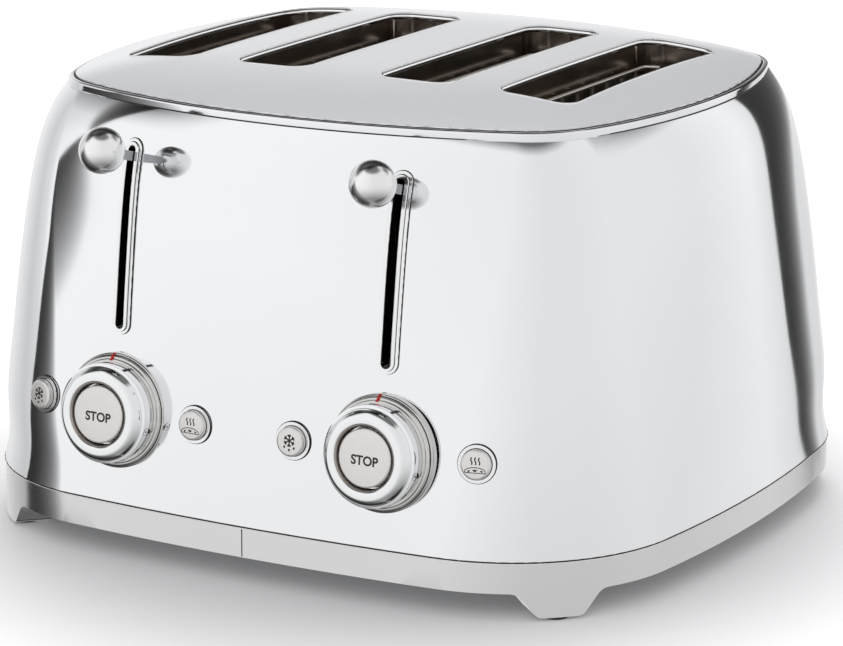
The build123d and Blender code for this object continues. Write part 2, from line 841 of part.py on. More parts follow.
# Lever carriages: the stem, an upright plate, a cross bar and two bushes on the guide rod
rod_places = [(side * lever_x, -rod_offset) for side in sides.values()]
carriage_middle = (carriage_front + carriage_back) / 2
for name, side in sides.items():
    x = side * lever_x
    plane = stem_planes[name]
    stem_end = -axis_length(plane, carriage_middle)
    bar_low = side * pair_x - slot_pitch / 2 - arm_slot
    bar_high = side * pair_x + slot_pitch / 2 + arm_slot
    rod_plane = Plane(origin=(x, -rod_offset, 0))
    with BuildPart() as lever_carriage:
        with BuildSketch(plane.offset(stem_end)):
            Rectangle(stem_width, stem_thickness)
        extrude(amount=seat_reach - stem_end)
        block(
            (x - carriage_width / 2, -carriage_front, bar_bottom),
            (x + carriage_width / 2, -carriage_back, carriage_top),
        )
        block(
            (bar_low, -carriage_front, bar_bottom),
            (bar_high, -carriage_back, bar_bottom + bar_height),
        )
        for bottom in (bar_bottom, carriage_top - bush_length):
            top = bottom + bush_length
            block((x - stem_width, -carriage_back, bottom), (x + stem_width, -rod_offset, top))
            tube(rod_plane, bush_diameter, 0, bottom, top)
        tube(rod_plane, rod_diameter + 2 * rod_fit, 0, 0, chassis_top, mode=Mode.SUBTRACT)
    lever_carriage.part.label = f"lever_carriage_{name}"
    export_step(lever_carriage.part, f"parts/lever_carriage_{name}.step")

# Bread racks: a strip with cross fingers under each slot, reaching out to its carriage
rack_half = finger_pitch * (finger_count - 1) / 2 + finger_width
for number, slot_x in enumerate(slot_centres, start=1):
    with BuildPart() as bread_rack:
        block(
            (slot_x - rack_sheet / 2, -carriage_back, bar_bottom),
            (slot_x + rack_sheet / 2, rack_half, rack_height),
        )
        with BuildSketch(Plane.XY.offset(rack_height)):
            with Locations((slot_x, 0)):
                with GridLocations(0, finger_pitch, 1, finger_count):
                    SlotOverall(2 * finger_reach, finger_width)
        extrude(amount=finger_sheet)
    bread_rack.part.label = f"bread_rack_{number}"
    export_step(bread_rack.part, f"parts/bread_rack_{number}.step")

# Guide rods for the two carriages
rod_top = chassis_top + chassis_sheet
with BuildPart() as guide_rods:
    with BuildSketch(Plane.XY.offset(base_top)):
        with Locations(rod_places):
            Circle(rod_diameter / 2)
    extrude(amount=rod_top - base_top)
guide_rods.part.label = "guide_rods"
export_step(guide_rods.part, "parts/guide_rods.step")

# Lift springs: the space that each coil fills around its rod
for (name, side), place in zip(sides.items(), rod_places):
    with BuildPart() as lift_spring:
        tube(
            Plane(origin=(*place, 0)),
            spring_diameter,
            spring_diameter - 2 * spring_wire,
            base_top + seat_gap,
            bar_bottom - seat_gap,
        )
    lift_spring.part.label = f"lift_spring_{name}"
    export_step(lift_spring.part, f"parts/lift_spring_{name}.step")

# Electromagnets: a bobbin on the base that holds the carriage down while the bread toasts
magnet_top = bar_bottom - lever_travel - keeper_gap
for name, side in sides.items():
    x = side * lever_x + magnet_offset
    with BuildPart() as electromagnet:
        block(
            (x - magnet_width / 2, -carriage_middle - magnet_depth / 2, base_top),
            (x + magnet_width / 2, -carriage_middle + magnet_depth / 2, magnet_top),
        )
        groove = Plane(origin=(x, -carriage_middle, 0))
        with BuildSketch(groove.offset(base_top + screw_head_height)):
            Rectangle(magnet_width, magnet_depth)
            Rectangle(magnet_width - magnet_groove, magnet_depth - magnet_groove, mode=Mode.SUBTRACT)
        extrude(amount=magnet_top - base_top - 2 * screw_head_height, mode=Mode.SUBTRACT)
        tube(groove, magnet_depth - magnet_groove / 2, 0, base_top, magnet_top - screw_head_height)
    electromagnet.part.label = f"electromagnet_{name}"
    export_step(electromagnet.part, f"parts/electromagnet_{name}.step")

# Chassis plates: upright sheets in front of and behind the bread slots, on three legs
leg_places = (-shield_x + chassis_leg / 2, 0, shield_x - chassis_leg / 2)


def chassis_plate(front):
    """An upright plate with slots for the guide rails, standing on the base plate."""
    rail_offset = guide_offset - guide_travel / 2
    rail_x = [x + place * rail_offset for x in slot_centres for place in sides.values()]
    with BuildSketch(Plane.XZ.offset(front)) as sheet:
        with Locations((0, (chassis_bottom + chassis_top) / 2)):
            Rectangle(chassis_width, chassis_top - chassis_bottom)
        with Locations([(x, (base_top + chassis_bottom) / 2) for x in leg_places]):
            Rectangle(chassis_leg, chassis_bottom - base_top)
        with Locations([(x, z) for x in rail_x for z in (guide_low, guide_high)]):
            Rectangle(
                guide_travel + guide_rail + 2 * move_gap,
                guide_rail + 2 * hole_gap,
                mode=Mode.SUBTRACT,
            )
    extrude(sheet.sketch, amount=chassis_sheet)


arm_low = bar_bottom - lever_travel - move_gap
arm_high = rack_height + move_gap
with BuildPart() as front_chassis_plate:
    chassis_plate(chassis_half)
    for slot_x in slot_centres:
        block(
            (slot_x - arm_slot / 2, -chassis_half - 2 * chassis_sheet, arm_low),
            (slot_x + arm_slot / 2, -chassis_half + chassis_sheet, arm_high),
            mode=Mode.SUBTRACT,
        )
    for x, y in rod_places:
        block(
            (x - bush_diameter, y - bush_diameter, chassis_top - chassis_sheet),
            (x + bush_diameter, -chassis_half, chassis_top),
        )
        hole = rod_diameter + 2 * hole_gap
        tube(Plane(origin=(x, y, 0)), hole, 0, chassis_bottom, rim_height, mode=Mode.SUBTRACT)
front_chassis_plate.part.label = "front_chassis_plate"
export_step(front_chassis_plate.part, "parts/front_chassis_plate.step")

with BuildPart() as rear_chassis_plate:
    chassis_plate(-chassis_half - chassis_sheet)
rear_chassis_plate.part.label = "rear_chassis_plate"
export_step(rear_chassis_plate.part, "parts/rear_chassis_plate.step")

# Heat shields: one sheet on each side and one between the two pairs of slots
shield_reach = chassis_half - seat_gap
for name, x in (("left", -shield_x), ("right", shield_x), ("centre", 0)):
    with BuildPart() as heat_shield:
        block(
            (x - chassis_sheet / 2, -shield_reach, base_top),
            (x + chassis_sheet / 2, shield_reach, chassis_top),
        )
    heat_shield.part.label = f"heat_shield_{name}"
    export_step(heat_shield.part, f"parts/heat_shield_{name}.step")

# Heater cards: three to each pair of slots, held between the chassis plates
heater_rows = (-heater_offset, 0, heater_offset)
heater_places = [side * pair_x + row for side in sides.values() for row in heater_rows]
for number, x in enumerate(heater_places, start=1):
    with BuildPart() as heater_card:
        block(
            (x - heater_sheet / 2, -shield_reach, heater_bottom),
            (x + heater_sheet / 2, shield_reach, heater_top),
        )
    heater_card.part.label = f"heater_card_{number}"
    export_step(heater_card.part, f"parts/heater_card_{number}.step")


def bread_guide(x, inwards):
    """A wire grid beside a slot: two rails, upright wires and a hooked top wire."""
    with BuildPart() as grid:
        with BuildSketch(Plane.XZ.offset(-guide_reach)):
            with Locations((x, guide_low), (x, guide_high)):
                Circle(guide_rail / 2)
        extrude(amount=2 * guide_reach)
        with BuildSketch(Plane.XY.offset(guide_low)):
            with Locations((x - inwards * guide_weld, 0)):
                with GridLocations(0, guide_pitch, 1, guide_wires):
                    Circle(guide_wire / 2)
        extrude(amount=guide_top - guide_low)
        with BuildLine() as top_wire:
            FilletPolyline(
                (x, -guide_front, guide_top),
                (x, guide_bend, guide_top),
                (x + inwards * guide_hook, guide_bend, guide_top),
                radius=guide_bend_radius,
            )
        with BuildSketch(Plane(origin=top_wire.line @ 0, z_dir=top_wire.line % 0)):
            Circle(guide_wire / 2)
        sweep()
    return grid.part


# Bread guides: the left-hand and the right-hand grids of each pair move as one
for name, side in sides.items():
    for guide_name, place in sides.items():
        with BuildPart() as bread_guides:
            for slot_place in sides.values():
                slot_x = side * pair_x + slot_place * slot_pitch / 2
                add(bread_guide(slot_x + place * guide_offset, -place))
        bread_guides.part.label = f"bread_guides_{name}_pair_{guide_name}"
        export_step(bread_guides.part, f"parts/bread_guides_{name}_pair_{guide_name}.step")

# Crumb trays: a pan under each pair of slots whose face follows the back wall
for name, side in sides.items():
    x = side * pair_x
    face_half = tray_width / 2 + tray_face_margin
    face_bottom = body_bottom + skirt_gap
    with BuildPart() as tray_face:
        block(
            (x - face_half, body_depth / 4, face_bottom),
            (x + face_half, body_depth, face_bottom + tray_face_height),
        )
        add(tray_layer.part, mode=Mode.INTERSECT)
    with BuildPart() as tray_pan:
        block(
            (x - tray_width / 2, -tray_front, tray_bottom),
            (x + tray_width / 2, body_depth, tray_top),
        )
        add(tray_form.part, mode=Mode.INTERSECT)
    with BuildPart() as tray_hollow:
        half = tray_width / 2 - tray_sheet
        block(
            (x - half, tray_sheet - tray_front, tray_bottom + tray_sheet),
            (x + half, body_depth, rim_height),
        )
        add(tray_hollow_form.part, mode=Mode.INTERSECT)
    pull_start = front_depth(abs(x) + pull_width / 2, tray_bottom)
    pull_end = body_depth / 2 + pull_reach
    pull_length = pull_end - pull_start
    with BuildPart() as crumb_tray:
        add(tray_pan.part)
        with BuildSketch(Plane.XY.offset((tray_bottom + tray_top - pull_sheet) / 2)):
            with Locations((x, pull_start + pull_length / 2)):
                RectangleRounded(pull_width, pull_length, pull_radius)
            with Locations((x, pull_start + (pull_length - pull_radius) / 2)):
                Rectangle(pull_width, pull_length - pull_radius)
        extrude(amount=pull_sheet)
        add(tray_hollow.part, mode=Mode.SUBTRACT)
        add(tray_face.part)
    crumb_tray.part.label = f"crumb_tray_{name}"
    export_step(crumb_tray.part, f"parts/crumb_tray_{name}.step")

# Power board: a transformer and two capacitors on a board behind the chassis
power_middle = power_bottom + power_height / 2
with BuildPart() as power_board:
    with BuildSketch(Plane.XZ.offset(-power_plane - board_sheet)):
        with Locations((0, power_middle)):
            Rectangle(power_width, power_height)
    extrude(amount=board_sheet)
    with BuildSketch(Plane.XZ.offset(-power_plane)):
        with Locations((0, power_middle)):
            with GridLocations(power_width - 2 * post_inset, power_height - 2 * post_inset, 2, 2):
                Circle(power_post / 2)
    extrude(amount=power_plane - chassis_half - chassis_sheet)
    with BuildSketch(Plane.XZ.offset(-power_plane - board_sheet)):
        with Locations((0, power_middle)):
            Rectangle(transformer_size, transformer_size)
    extrude(amount=-transformer_depth)
    with BuildSketch(Plane.XZ.offset(-power_plane - board_sheet)):
        with Locations((-transformer_size, power_middle), (transformer_size, power_middle)):
            Circle(capacitor_diameter / 2)
    extrude(amount=-capacitor_length)
power_board.part.label = "power_board"
export_step(power_board.part, "parts/power_board.step")

# Cord inlet: a rubber grommet in the back wall
with BuildPart() as cord_inlet:
    tube(gland_plane, gland_flange, gland_bore, -2 * body_wall, gland_rise)
    add(skin.part, mode=Mode.SUBTRACT)
    tube(gland_plane, gland_diameter, gland_bore, -gland_depth, gland_rise)
cord_inlet.part.label = "cord_inlet"
export_step(cord_inlet.part, "parts/cord_inlet.step")
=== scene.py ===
import json
import math

import bmesh
import bpy
from mathutils import Matrix, Vector


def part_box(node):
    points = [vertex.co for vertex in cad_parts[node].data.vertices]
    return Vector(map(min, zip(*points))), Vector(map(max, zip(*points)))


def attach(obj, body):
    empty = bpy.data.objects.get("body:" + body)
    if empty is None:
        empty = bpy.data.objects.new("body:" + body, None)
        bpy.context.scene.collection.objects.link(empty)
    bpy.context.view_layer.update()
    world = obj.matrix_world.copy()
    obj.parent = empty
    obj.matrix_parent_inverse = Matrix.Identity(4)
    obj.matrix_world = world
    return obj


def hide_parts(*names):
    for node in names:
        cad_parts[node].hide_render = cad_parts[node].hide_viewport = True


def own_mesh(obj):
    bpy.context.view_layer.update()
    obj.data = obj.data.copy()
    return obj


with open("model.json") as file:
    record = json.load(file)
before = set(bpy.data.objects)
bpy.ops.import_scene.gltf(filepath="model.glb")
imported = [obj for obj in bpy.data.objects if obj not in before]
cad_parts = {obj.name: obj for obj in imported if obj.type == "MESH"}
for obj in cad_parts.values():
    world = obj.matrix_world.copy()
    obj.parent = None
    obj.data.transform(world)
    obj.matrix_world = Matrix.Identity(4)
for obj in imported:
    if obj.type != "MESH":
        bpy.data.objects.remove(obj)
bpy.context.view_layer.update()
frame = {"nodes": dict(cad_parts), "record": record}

# Camera: a long lens at the height of a person leaning towards the worktop, turned
# to the toaster's right so that the front and the right side both show.
camera_turn = math.radians(29.51)
camera_lift = math.radians(14.23)
camera_roll = math.radians(0.15)
camera_distance = 1.6767
camera_target = Vector((0.00006, 0.0, 0.0849))

camera_way = Vector(
    (
        math.sin(camera_turn) * math.cos(camera_lift),
        -math.cos(camera_turn) * math.cos(camera_lift),
        math.sin(camera_lift),
    )
)
lens = bpy.data.cameras.new("camera")
lens.sensor_width = 36.0
lens.lens = 161.17
lens.shift_y = -0.0153
lens.clip_end = 30.0
camera = bpy.data.objects.new("camera", lens)
camera.location = camera_target + camera_way * camera_distance
turn = camera_way.to_track_quat("Z", "Y").to_matrix() @ Matrix.Rotation(camera_roll, 3, "Z")
camera.rotation_euler = turn.to_euler()
bpy.context.scene.collection.objects.link(camera)
bpy.context.scene.camera = camera


# Studio: a white floor that runs to the horizon under two large soft boxes, in a
# white room with two dark strips. The strips draw the dark bands down the toaster's
# polished wall, and only reflections see them.
def colour(code):
    """An sRGB hex colour as the linear values that Blender's sockets take."""
    parts = [int(code[i : i + 2], 16) / 255 for i in (1, 3, 5)]
    return (*[p / 12.92 if p <= 0.04045 else ((p + 0.055) / 1.055) ** 2.4 for p in parts], 1.0)


def add_node(tree, kind, links=None, **settings):
    """A node with its settings, and with each named input set, or linked to a socket or a node."""
    node = tree.nodes.new(kind)
    for name, value in settings.items():
        setattr(node, name, value)
    for name, source in (links or {}).items():
        source = getattr(source, "outputs", [source])[0]
        if isinstance(source, bpy.types.NodeSocket):
            tree.links.new(source, node.inputs[name])
        else:
            node.inputs[name].default_value = source
    return node


def new_material(name, **constants):
    """A material with one Principled shader, its node tree and that shader."""
    material = bpy.data.materials.new(name)
    material.use_nodes = True
    shader = material.node_tree.nodes["Principled BSDF"]
    for socket, value in constants.items():
        shader.inputs[socket.replace("_", " ")].default_value = value
    return material, material.node_tree, shader


def new_piece(name, mesh, material, smooth_angle=None):
    """A mesh object at the origin with one material, smooth up to an angle."""
    piece = bpy.data.objects.new(name, mesh)
    bpy.context.scene.collection.objects.link(piece)
    mesh.materials.clear()
    mesh.materials.append(material)
    if smooth_angle is not None:
        mesh.shade_smooth()
        mesh.set_sharp_from_angle(angle=math.radians(smooth_angle))
    return piece


# Matt white floor: it takes the toaster's soft shadow. Its glow is a painted pool of
# light: weak near the toaster, a painted shadow that deepens the real one, and stronger
# further out, so that its edge melts into the white room.
floor_size = 12.0
floor_mesh = bpy.data.meshes.new("floor")
floor_shape = bmesh.new()
bmesh.ops.create_grid(floor_shape, x_segments=1, y_segments=1, size=floor_size)
floor_shape.to_mesh(floor_mesh)
floor_shape.free()
floor_white, tree, shader = new_material("floor white", Base_Color=colour("#f4f4f6"), Roughness=0.9)
floor = new_piece("floor", floor_mesh, floor_white)
shadow_reach, glow_reach = 0.15, 0.29
shadow_glow, far_glow = 0.07, 0.36
path = add_node(tree, "ShaderNodeLightPath")
seen = add_node(
    tree,
    "ShaderNodeMath",
    {0: path.outputs["Is Camera Ray"], 1: path.outputs["Is Glossy Ray"]},
    operation="MAXIMUM",
)
place = add_node(tree, "ShaderNodeTexCoord")
away = add_node(tree, "ShaderNodeVectorMath", {0: place.outputs["Object"]}, operation="LENGTH")
# Painted shadow and pool of light: the glow rises with distance from the toaster.
painted_light_pool = add_node(
    tree,
    "ShaderNodeMapRange",
    {
        "Value": away.outputs["Value"],
        "From Min": shadow_reach,
        "From Max": glow_reach,
        "To Min": shadow_glow,
        "To Max": far_glow,
    },
    interpolation_type="SMOOTHSTEP",
)
lift = add_node(tree, "ShaderNodeMath", {0: seen, 1: painted_light_pool}, operation="MULTIPLY")
tree.links.new(lift.outputs[0], shader.inputs["Emission Strength"])
white = colour("#ffffff")
shader.inputs["Emission Color"].default_value = white
floor.visible_glossy = False

# The room: white all round, with one dark strip on the left and another behind, and
# darker high up. Angles are in degrees: front_turn runs from straight ahead of the
# toaster to its right, back_turn from straight behind to its right, and climb upwards.
room_light = 0.62
thrown_light = 0.22
world = bpy.data.worlds.new("studio")
world.use_nodes = True
bpy.context.scene.world = world
tree = world.node_tree
plain = tree.nodes["Background"]
plain.inputs["Color"].default_value = white
plain.inputs["Strength"].default_value = room_light
way = add_node(tree, "ShaderNodeTexCoord").outputs["Generated"]
axes = add_node(tree, "ShaderNodeSeparateXYZ", {0: way})
ahead = add_node(tree, "ShaderNodeMath", {0: axes.outputs["Y"], 1: -1.0}, operation="MULTIPLY")
angles = []
for operation, sides in (
    ("ARCTAN2", {0: axes.outputs["X"], 1: ahead}),
    ("ARCTAN2", {0: axes.outputs["X"], 1: axes.outputs["Y"]}),
    ("ARCSINE", {0: axes.outputs["Z"]}),
):
    angle = add_node(tree, "ShaderNodeMath", sides, operation=operation)
    angles.append(add_node(tree, "ShaderNodeMath", {0: angle}, operation="DEGREES"))
front_turn, back_turn, climb = angles
strip_dark = 0.045
strip_fade = 1.6


def strip(along, hard_edge, soft_edge):
    """How bright a dark strip is: darkest at its hard edge, and fading to white at its soft one."""
    edges = {"Value": along, "From Min": hard_edge, "From Max": soft_edge}
    share = add_node(tree, "ShaderNodeMapRange", edges, clamp=False)
    outside = add_node(tree, "ShaderNodeMath", {0: share, 1: 0.0}, operation="LESS_THAN")
    share = add_node(tree, "ShaderNodeClamp", {0: share})
    fade = add_node(tree, "ShaderNodeMath", {0: share, 1: strip_fade}, operation="POWER")
    depth = add_node(tree, "ShaderNodeMath", {0: 1.0, 1: fade}, operation="SUBTRACT")
    tone = add_node(tree, "ShaderNodeMath", {0: strip_dark, 1: depth}, operation="POWER")
    return add_node(tree, "ShaderNodeMath", {0: outside, 1: tone}, operation="MAXIMUM")


def room_tones(along, span, stages):
    """The room's brightness along an angle of a full span, from (degrees, brightness) stages."""
    share = add_node(tree, "ShaderNodeMath", {0: along, 1: 1 / span, 2: 0.5}, operation="MULTIPLY_ADD")
    ramp = add_node(tree, "ShaderNodeValToRGB", {"Fac": share})
    stops = ramp.color_ramp.elements
    for number, (angle, tone) in enumerate(stages):
        spot = angle / span + 0.5
        stop = stops[number] if number < 2 else stops.new(spot)
        stop.position = spot
        stop.color = (tone, tone, tone, 1.0)
    return ramp


# The left strip's hard edge bends below level, and the soft edges lean with height.
dip = add_node(tree, "ShaderNodeMath", {0: climb, 1: 1.45, 2: 1.45}, operation="MULTIPLY_ADD")
dip = add_node(tree, "ShaderNodeMath", {0: dip, 1: 0.0}, operation="MINIMUM")
left_hard = add_node(tree, "ShaderNodeMath", {0: dip, 1: -69.5}, operation="ADD")
left_soft = add_node(tree, "ShaderNodeMath", {0: climb, 1: -0.72, 2: -57.3}, operation="MULTIPLY_ADD")
back_hard = 15.0
back_soft = add_node(tree, "ShaderNodeMath", {0: climb, 1: -2.0, 2: -15.0}, operation="MULTIPLY_ADD")
left_strip = strip(front_turn, left_hard, left_soft)
back_strip = strip(back_turn, back_hard, back_soft)
tones_round = room_tones(
    front_turn,
    360,
    (
        (-180, 0.80), (-165, 0.96), (-120, 0.90), (-92, 0.66), (-78, 0.78), (-70, 1.0),
        (-30, 0.99), (0, 0.93), (20, 0.88), (42, 0.83), (80, 0.83), (119, 0.865),
        (140, 0.85), (157, 0.97), (166, 0.82), (180, 0.80),
    ),
)
tones_in_front = room_tones(
    climb, 180, ((-90, 0.45), (-60, 0.30), (-16, 0.90), (-2, 1.0), (56, 1.0), (66, 0.2), (90, 0.2))
)
tones_behind = room_tones(
    climb,
    180,
    (
        (-90, 0.45), (-60, 0.30), (-16, 0.90), (-2, 1.0), (24, 1.0), (35, 0.26),
        (48, 0.20), (56, 0.9), (64, 0.9), (72, 0.2), (90, 0.2),
    ),
)
room_turn = math.radians(35.0)
facing = (math.sin(room_turn), -math.cos(room_turn), 0.0)
forward = add_node(tree, "ShaderNodeVectorMath", {0: way, 1: facing}, operation="DOT_PRODUCT")
is_behind = add_node(
    tree, "ShaderNodeMapRange", {"Value": forward.outputs["Value"], "From Min": 0.05, "From Max": -0.20}
)
level = add_node(tree, "ShaderNodeMix", {"Factor": is_behind, "A": tones_in_front, "B": tones_behind})
for shade in (left_strip, back_strip, tones_round):
    level = add_node(tree, "ShaderNodeMath", {0: level, 1: shade}, operation="MULTIPLY")

# Reflections see the tones above. Light that the steel throws onto the floor comes from
# a dimmer room, and the camera sees plain white.
path = add_node(tree, "ShaderNodeLightPath")
seen = add_node(
    tree,
    "ShaderNodeMath",
    {0: path.outputs["Is Camera Ray"], 1: path.outputs["Is Transmission Ray"]},
    operation="MAXIMUM",
)
bounces = path.outputs["Diffuse Depth"]
thrown = add_node(tree, "ShaderNodeMath", {0: bounces, 1: 0.5}, operation="GREATER_THAN")
mirrored = add_node(tree, "ShaderNodeBackground", {"Color": white, "Strength": level})
dim = add_node(tree, "ShaderNodeBackground", {"Color": white, "Strength": thrown_light})
backdrop = add_node(tree, "ShaderNodeBackground", {"Color": white, "Strength": 1.0})
glossy = add_node(tree, "ShaderNodeMixShader", {0: thrown, 1: mirrored, 2: dim})
either = add_node(tree, "ShaderNodeMixShader", {0: path.outputs["Is Glossy Ray"], 1: plain, 2: glossy})
final = add_node(tree, "ShaderNodeMixShader", {0: seen, 1: either, 2: backdrop})
tree.links.new(final.outputs[0], tree.nodes["World Output"].inputs["Surface"])
bpy.context.scene.view_settings.view_transform = "Standard"


def soft_box(name, place, size, watts):
    """A rectangular lamp that looks at the middle of the toaster."""
    lamp = bpy.data.lights.new(name, "AREA")
    lamp.shape = "RECTANGLE"
    lamp.size = size[0]
    lamp.size_y = size[1]
    lamp.energy = watts
    holder = bpy.data.objects.new(name, lamp)
    holder.location = place
    holder.rotation_euler = (Vector(place) - camera_target).to_track_quat("Z", "Y").to_euler()
    holder.visible_glossy = False
    bpy.context.scene.collection.objects.link(holder)


soft_box("back soft box", (-0.5, 1.3, 1.6), (1.6, 1.2), 19)
soft_box("front soft box", (0.9, -1.9, 1.3), (1.4, 1.4), 10)

# Body shell: polished stainless steel, drawn in one piece and buffed to a mirror.
# Its outside normals are worked out from the form, so that reflections run smooth.
body_bottom = 0.0255
rim_height = 0.1956
half_width, half_depth = 0.165, 0.151
side_bow = (0.0188, 0.0362)
front_bow = (0.0136, 0.0384)
corner_radius = (0.0786, 0.0375)


def wall_section(height):
    """Half width, half depth, side bow, front bow and corner radius at a height."""
    rise = (height - body_bottom) / (rim_height - body_bottom)
    lean = 0.0103 * rise + 0.0052 * rise**2
    shoulder = 0.010 * max(rise, 0.0) ** 11.6
    curves = [low + rise * (high - low) for low, high in (side_bow, front_bow, corner_radius)]
    return (half_width - lean - shoulder, half_depth - lean - shoulder, *curves)


def outline_distance(x, y, section):
    """How far a point lies outside the bulged rectangle of a section."""
    half_x, half_y, bow_x, bow_y, corner = section
    side_radius = (half_y**2 + bow_x**2) / (2 * bow_x)
    front_radius = (half_x**2 + bow_y**2) / (2 * bow_y)
    side_x = half_x - side_radius
    front_y = half_y - front_radius
    apart = math.hypot(side_x, front_y)
    along = ((side_radius - corner) ** 2 - (front_radius - corner) ** 2 + apart**2) / (2 * apart)
    across = math.sqrt((side_radius - corner) ** 2 - along**2)
    middle_x = side_x - side_x / apart * along - front_y / apart * across
    middle_y = front_y / apart * along - side_x / apart * across
    x, y = abs(x), abs(y)
    if (middle_x - side_x) * y < middle_y * (x - side_x):
        return math.hypot(x - side_x, y) - side_radius
    if middle_x * (y - front_y) > (middle_y - front_y) * x:
        return math.hypot(x, y - front_y) - front_radius
    return math.hypot(x - middle_x, y - middle_y) - corner


def wall_distance(spot):
    """How far a point lies outside the body's wall, measured level."""
    return outline_distance(spot.x, spot.y, wall_section(spot.z))


def slope(distance, spot, step=0.0002):
    """The outward direction of a form at a point, from small steps along each axis."""
    ways = (Vector((step, 0, 0)), Vector((0, step, 0)), Vector((0, 0, step)))
    return Vector([distance(spot + way) - distance(spot - way) for way in ways]).normalized()


def merged_copy(node, cuts=()):
    """A CAD node's mesh with its triangles joined up, and cut smaller for an even shine.

    Each cut is an axis, the place to start from, and the step from plane to plane.
    """
    mesh = frame["nodes"][node].data.copy()
    mesh.name = node
    shape = bmesh.new()
    shape.from_mesh(mesh)
    bmesh.ops.remove_doubles(shape, verts=shape.verts, dist=0.000004)
    low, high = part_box(node)
    for axis, start, step in cuts:
        normal = Vector([float(axis == other) for other in range(3)])
        place = max(start, low[axis]) + step
        while place < high[axis]:
            geometry = [*shape.verts, *shape.edges, *shape.faces]
            bmesh.ops.bisect_plane(
                shape, geom=geometry, dist=0.000002, plane_co=normal * place, plane_no=normal
            )
            place += step
    shape.to_mesh(mesh)
    shape.free()
    return mesh


def set_form_normals(mesh, distance, reach):
    """Gives every face that lies on a form the form's own normals."""
    mesh.shade_smooth()
    mesh.set_sharp_from_angle(angle=math.radians(30))
    normals = [Vector(corner.vector) for corner in mesh.corner_normals]
    on_form = [abs(distance(vertex.co)) < reach for vertex in mesh.vertices]
    known = {}
    for face in mesh.polygons:
        if not all(on_form[vertex] for vertex in face.vertices):
            continue
        for loop in face.loop_indices:
            vertex = mesh.loops[loop].vertex_index
            if vertex not in known:
                known[vertex] = slope(distance, mesh.vertices[vertex].co)
            if known[vertex].dot(face.normal) > 0.8:
                normals[loop] = known[vertex]
    mesh.normals_split_custom_set(normals)


def uneven(
    tree,
    shader,
    grain,
    roughness=None,
    tones=None,
    bump=None,
    spread=(0.3, 0.7),
    cells=False,
    **settings,
):
    """Makes a finish uneven in patches as wide as its grain in millimetres, or in crystal cells.

    Roughness is two limits, tones are two hex colours, and bump is a strength and a depth
    in metres. Spread is the part of the pattern's range that the roughness follows. Brushed,
    blasted and moulded grains are finer than the render shows, and are drawn coarser.
    """
    place = add_node(tree, "ShaderNodeTexCoord").outputs["Object"]
    kind = "ShaderNodeTexVoronoi" if cells else "ShaderNodeTexNoise"
    patches = add_node(tree, kind, {"Vector": place, "Scale": 1000 / grain, **settings})
    patches = patches.outputs["Color" if cells else "Fac"]
    if roughness:
        low, high = roughness
        limits = {"From Min": spread[0], "From Max": spread[1], "To Min": low, "To Max": high}
        reach = add_node(tree, "ShaderNodeMapRange", {"Value": patches, **limits})
        tree.links.new(reach.outputs[0], shader.inputs["Roughness"])
    if tones:
        ramp = add_node(tree, "ShaderNodeValToRGB", {"Fac": patches})
        for stop, tone in zip(ramp.color_ramp.elements, tones):
            stop.color = colour(tone)
        tree.links.new(ramp.outputs["Color"], shader.inputs["Base Color"])
    if bump:
        relief = add_node(tree, "ShaderNodeBump", {"Height": patches})
        relief.inputs["Strength"].default_value, relief.inputs["Distance"].default_value = bump
        tree.links.new(relief.outputs[0], shader.inputs["Normal"])


# Mirror-buffed stainless steel: it shows the room sharply, with a faint wiping haze.
polished_steel, tree, shader = new_material(
    "polished stainless steel", Base_Color=colour("#f3f4f6"), Metallic=1.0, Roughness=0.06
)
uneven(tree, shader, grain=55.6, roughness=(0.045, 0.085), spread=(0.3, 0.75), Detail=4.0)

wall_cuts = [(0, -1, 0.0075), (1, -1, 0.0075), (2, -1, 0.0065), (2, 0.170, 0.0014)]
body_mesh = merged_copy("body_shell", wall_cuts)
body_shell = new_piece("body_wall", body_mesh, polished_steel)
set_form_normals(body_mesh, wall_distance, reach=0.003)
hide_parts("body_shell")
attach(body_shell, "housing")


# Top panel: a crowned steel sheet with four slots turned down at their edges. It has a
# fine satin finish, bead-blasted, which spreads reflections into a soft cool grey.
crown_rise = 0.0088
crown_power = 5.4


def crown_distance(spot):
    """How far a point lies above the crowned top, measured upright."""
    section = wall_section(rim_height)
    low, high = 0.0, 1.02
    for _ in range(18):
        scale = (low + high) / 2
        if outline_distance(spot.x, spot.y, [max(scale, 0.01) * size for size in section]) > 0:
            low = scale
        else:
            high = scale
    return spot.z - rim_height - crown_rise * (1 - scale**crown_power)


# The blasted grain is drawn 1.4 mm wide, coarser than it is, so that it shows.
satin_steel, tree, shader = new_material(
    "satin stainless steel", Base_Color=colour("#f8f9fd"), Metallic=0.30, Roughness=0.24
)
uneven(tree, shader, grain=1.43, roughness=(0.225, 0.265), bump=(0.003, 0.0001), Detail=1.0)
panel_mesh = merged_copy("top_panel", [(0, -1, 0.006), (1, -1, 0.006)])
top_sheet = new_piece("top_sheet", panel_mesh, satin_steel)
set_form_normals(panel_mesh, crown_distance, reach=0.0001)
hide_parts("top_panel")
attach(top_sheet, "housing")

# Heat-tinted steel: the walls of the slots are browned in dull clouds by the heat, and
# darkened as painted shade for the dark inside of the slots.
tinted_and_shaded_steel, tree, shader = new_material(
    "heat tint and painted shade steel", Base_Color=colour("#a3978f"), Metallic=1.0, Roughness=0.22
)
uneven(tree, shader, grain=22.2, tones=("#85786f", "#cdc3bb"), Detail=3.0)
panel_border = 0.006
panel_mesh.materials.append(tinted_and_shaded_steel)
# The slot walls take the tinted steel: real heat tint, and painted shade for the recess.
for face in panel_mesh.polygons:
    inside = outline_distance(face.center.x, face.center.y, wall_section(rim_height)) < -panel_border
    face.material_index = 1 if inside and face.normal.z < 0.5 else 0


